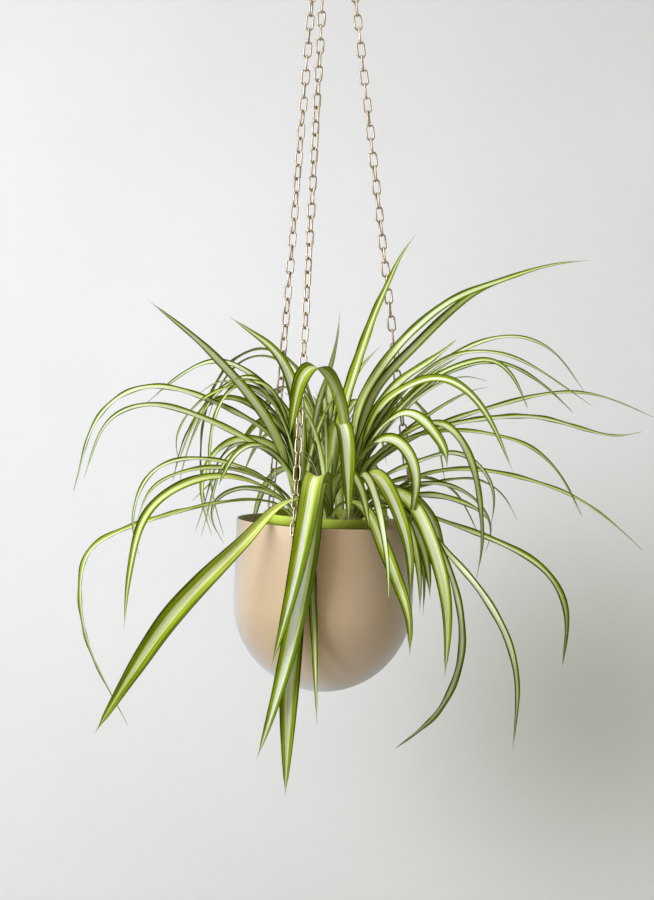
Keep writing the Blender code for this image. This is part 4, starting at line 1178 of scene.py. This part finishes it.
def chain_piece(name, heading, ring_angle, chains, gold):
    """A chain from the ring to its stud. Links turn by quarters, and a little more to lie flat on the pot."""
    stand_off = HANG @ around(heading, POT_RADIUS + WIRE_RADIUS + LINK_CLEAR, STUD_RADIUS - HOLE_DROP)
    foot = stand_off - HANG.to_3x3() @ Vector((0, 0, 2 * STUD_RADIUS + WIRE_RADIUS))
    on_ring = Vector((sin(radians(ring_angle)), 0, -cos(radians(ring_angle)))) * RING_RADIUS + RING_CENTRE
    down = (foot - on_ring).normalized()
    head = on_ring - down * (RING_WIRE + WIRE_RADIUS)
    overlap = 2 * WIRE_RADIUS
    span = (foot - head).length - overlap
    count = round(span / LINK_PITCH)
    pitch = span / count
    length = pitch + overlap
    start = frame_of(head, down, Vector((0, 1, 0)))
    along_wall = start.to_3x3().inverted() @ (HANG.to_3x3() @ around(heading + 90, 1))
    quarter = pi / 2
    twist = (atan2(along_wall.y, along_wall.x) - (count - 1) * quarter + quarter) % pi - quarter
    link = meshed("link", link_bmesh(length, chains))
    bm = bmesh.new()
    rng = random.Random(name)
    wave = rng.uniform(0, tau)
    for i in range(count):
        ends = sin(pi * i / (count - 1))  # the first and last links can't turn
        askew = radians(chains.askew) * ends * (sin(wave + i * 0.42) + rng.uniform(-0.5, 0.5))
        turn = i * quarter + twist * i / (count - 1) + askew
        before = len(bm.verts)
        bm.from_mesh(link)
        bm.verts.ensure_lookup_table()
        place = start @ Matrix.Translation((0, 0, i * pitch + length / 2)) @ Matrix.Rotation(turn, 4, "Z")
        bmesh.ops.transform(bm, matrix=place, verts=bm.verts[before:])
    bpy.data.meshes.remove(link)
    add_stud(bm, heading)
    finished(name + "_links", bm, [gold], name, 60)


def ring_piece(chains, gold):
    """The round wire ring."""
    bm = bmesh.new()
    place = Matrix.Translation((RING_RADIUS, 0, 0))
    wire = bmesh.ops.create_circle(bm, segments=16, radius=RING_WIRE, matrix=place)["verts"]
    whirled(bm, wire + bm.edges[:], (0, 1, 0), 64)
    bmesh.ops.recalc_face_normals(bm, faces=bm.faces)
    bm.transform(Matrix.Translation(RING_CENTRE))
    finished("top_ring", bm, [gold], "hanging_ring", 60)


# The stage


def studio(stage):
    """A wide round studio: a floor that curves up into a wall on every side."""
    flat = STUDIO_REACH - STUDIO_CURVE
    profile = [(0, STUDIO_FLOOR), (flat, STUDIO_FLOOR)]
    for a in np.linspace(0, pi / 2, 17)[1:]:
        profile.append((flat + STUDIO_CURVE * sin(a), STUDIO_FLOOR + STUDIO_CURVE - STUDIO_CURVE * cos(a)))
    profile.append((STUDIO_REACH, STUDIO_TOP))
    bm = spun(profile, 96)
    bmesh.ops.reverse_faces(bm, faces=[f for f in bm.faces if f.normal.dot(f.calc_center_median()) > 0])
    mesh = meshed("studio", bm)
    mesh.materials.append(studio_paint(stage))
    mesh.shade_smooth()
    obj = placed("studio", mesh)


def softbox(name, place, aim, side, power, colour, spread):
    """A square area light at a place, aimed at another. Both are from the rim's centre."""
    light = bpy.data.lights.new(name, "AREA")
    light.shape = "SQUARE"
    light.size = side
    light.energy = power
    light.color = colour
    light.spread = radians(spread)
    obj = placed(name, light)
    obj.location = RIM_CENTRE + Vector(place)
    obj.rotation_euler = (Vector(aim) - Vector(place)).to_track_quat("-Z", "Y").to_euler()
    obj.visible_camera = False


def lights(stage):
    for name, (place, aim, side, share, colour, spread) in SOFTBOXES.items():
        softbox(name, place, aim, side, stage.key * share, colour, spread)
    world = bpy.data.worlds.new("studio_air")
    bpy.context.scene.world = world
    world.use_nodes = True
    air = world.node_tree.nodes["Background"]
    air.inputs["Color"].default_value = (*stage.fill_colour, 1)
    air.inputs["Strength"].default_value = stage.fill


def camera(stage):
    lens = bpy.data.cameras.new("camera")
    lens.lens = stage.lens
    lens.sensor_width = 36
    obj = placed("camera", lens)
    obj.location = RIM_CENTRE + Vector(stage.camera_place)
    obj.rotation_euler = (pi / 2 - stage.camera_pitch, 0, 0)
    bpy.context.scene.camera = obj


# Operators


class PLANT_OT_pots(Operator):
    """Builds the outer pot and the nursery pot"""

    bl_idname = "plant.pots"
    bl_label = "Pots"

    def execute(self, context):
        outer_pot(context.scene.spider_pots)
        nursery_pot(context.scene.spider_pots)
        return {"FINISHED"}


class PLANT_OT_soil(Operator):
    """Fills the nursery pot with soil and strews crumbs on it"""

    bl_idname = "plant.soil"
    bl_label = "Soil"

    def execute(self, context):
        soil_body(context.scene.spider_soil)
        soil_crumbs(context.scene.spider_soil)
        return {"FINISHED"}


class PLANT_OT_leaves(Operator):
    """Grows the four crowns of striped leaves"""

    bl_idname = "plant.leaves"
    bl_label = "Leaves"

    def execute(self, context):
        leaves = context.scene.spider_leaves
        materials = [striped_leaf(leaves), leaf_sheath()]
        for name in CROWNS:
            crown_piece(name, leaves, materials)
        return {"FINISHED"}


class PLANT_OT_chains(Operator):
    """Hangs the three chains from their ring"""

    bl_idname = "plant.chains"
    bl_label = "Chains and ring"

    def execute(self, context):
        chains = context.scene.spider_chains
        gold = champagne_gold(chains)
        for (name, heading), angle in zip(CHAINS.items(), (-RING_SPREAD, 0, RING_SPREAD)):
            chain_piece(name, heading, angle, chains, gold)
        ring_piece(chains, gold)
        return {"FINISHED"}


class PLANT_OT_stage(Operator):
    """Sets up the studio, its lights and the camera"""

    bl_idname = "plant.stage"
    bl_label = "Stage"

    def execute(self, context):
        stage = context.scene.spider_stage
        camera(stage)
        studio(stage)
        lights(stage)
        context.scene.view_settings.view_transform = "Standard"
        return {"FINISHED"}


OPERATORS = (PLANT_OT_stage, PLANT_OT_pots, PLANT_OT_soil, PLANT_OT_leaves, PLANT_OT_chains)


class PLANT_PT_panel(Panel):
    """Lists the steps that build the hanging spider plant"""

    bl_idname = "PLANT_PT_panel"
    bl_label = "Hanging spider plant"
    bl_space_type = "VIEW_3D"
    bl_region_type = "UI"
    bl_category = "Spider plant"

    def draw(self, context):
        for operator in OPERATORS:
            self.layout.operator(operator.bl_idname)


def register():
    for group in SETTINGS.values():
        bpy.utils.register_class(group)
    for name, group in SETTINGS.items():
        setattr(bpy.types.Scene, name, PointerProperty(type=group))
    for shown in (*OPERATORS, PLANT_PT_panel):
        bpy.utils.register_class(shown)


def unregister():
    for shown in reversed((*OPERATORS, PLANT_PT_panel)):
        bpy.utils.unregister_class(shown)
    for name in SETTINGS:
        delattr(bpy.types.Scene, name)
    for group in reversed(SETTINGS.values()):
        bpy.utils.unregister_class(group)


def main():
    register()
    bpy.ops.plant.stage()
    bpy.ops.plant.pots()
    bpy.ops.plant.soil()
    bpy.ops.plant.leaves()
    bpy.ops.plant.chains()


if __name__ == "__main__":
    main()
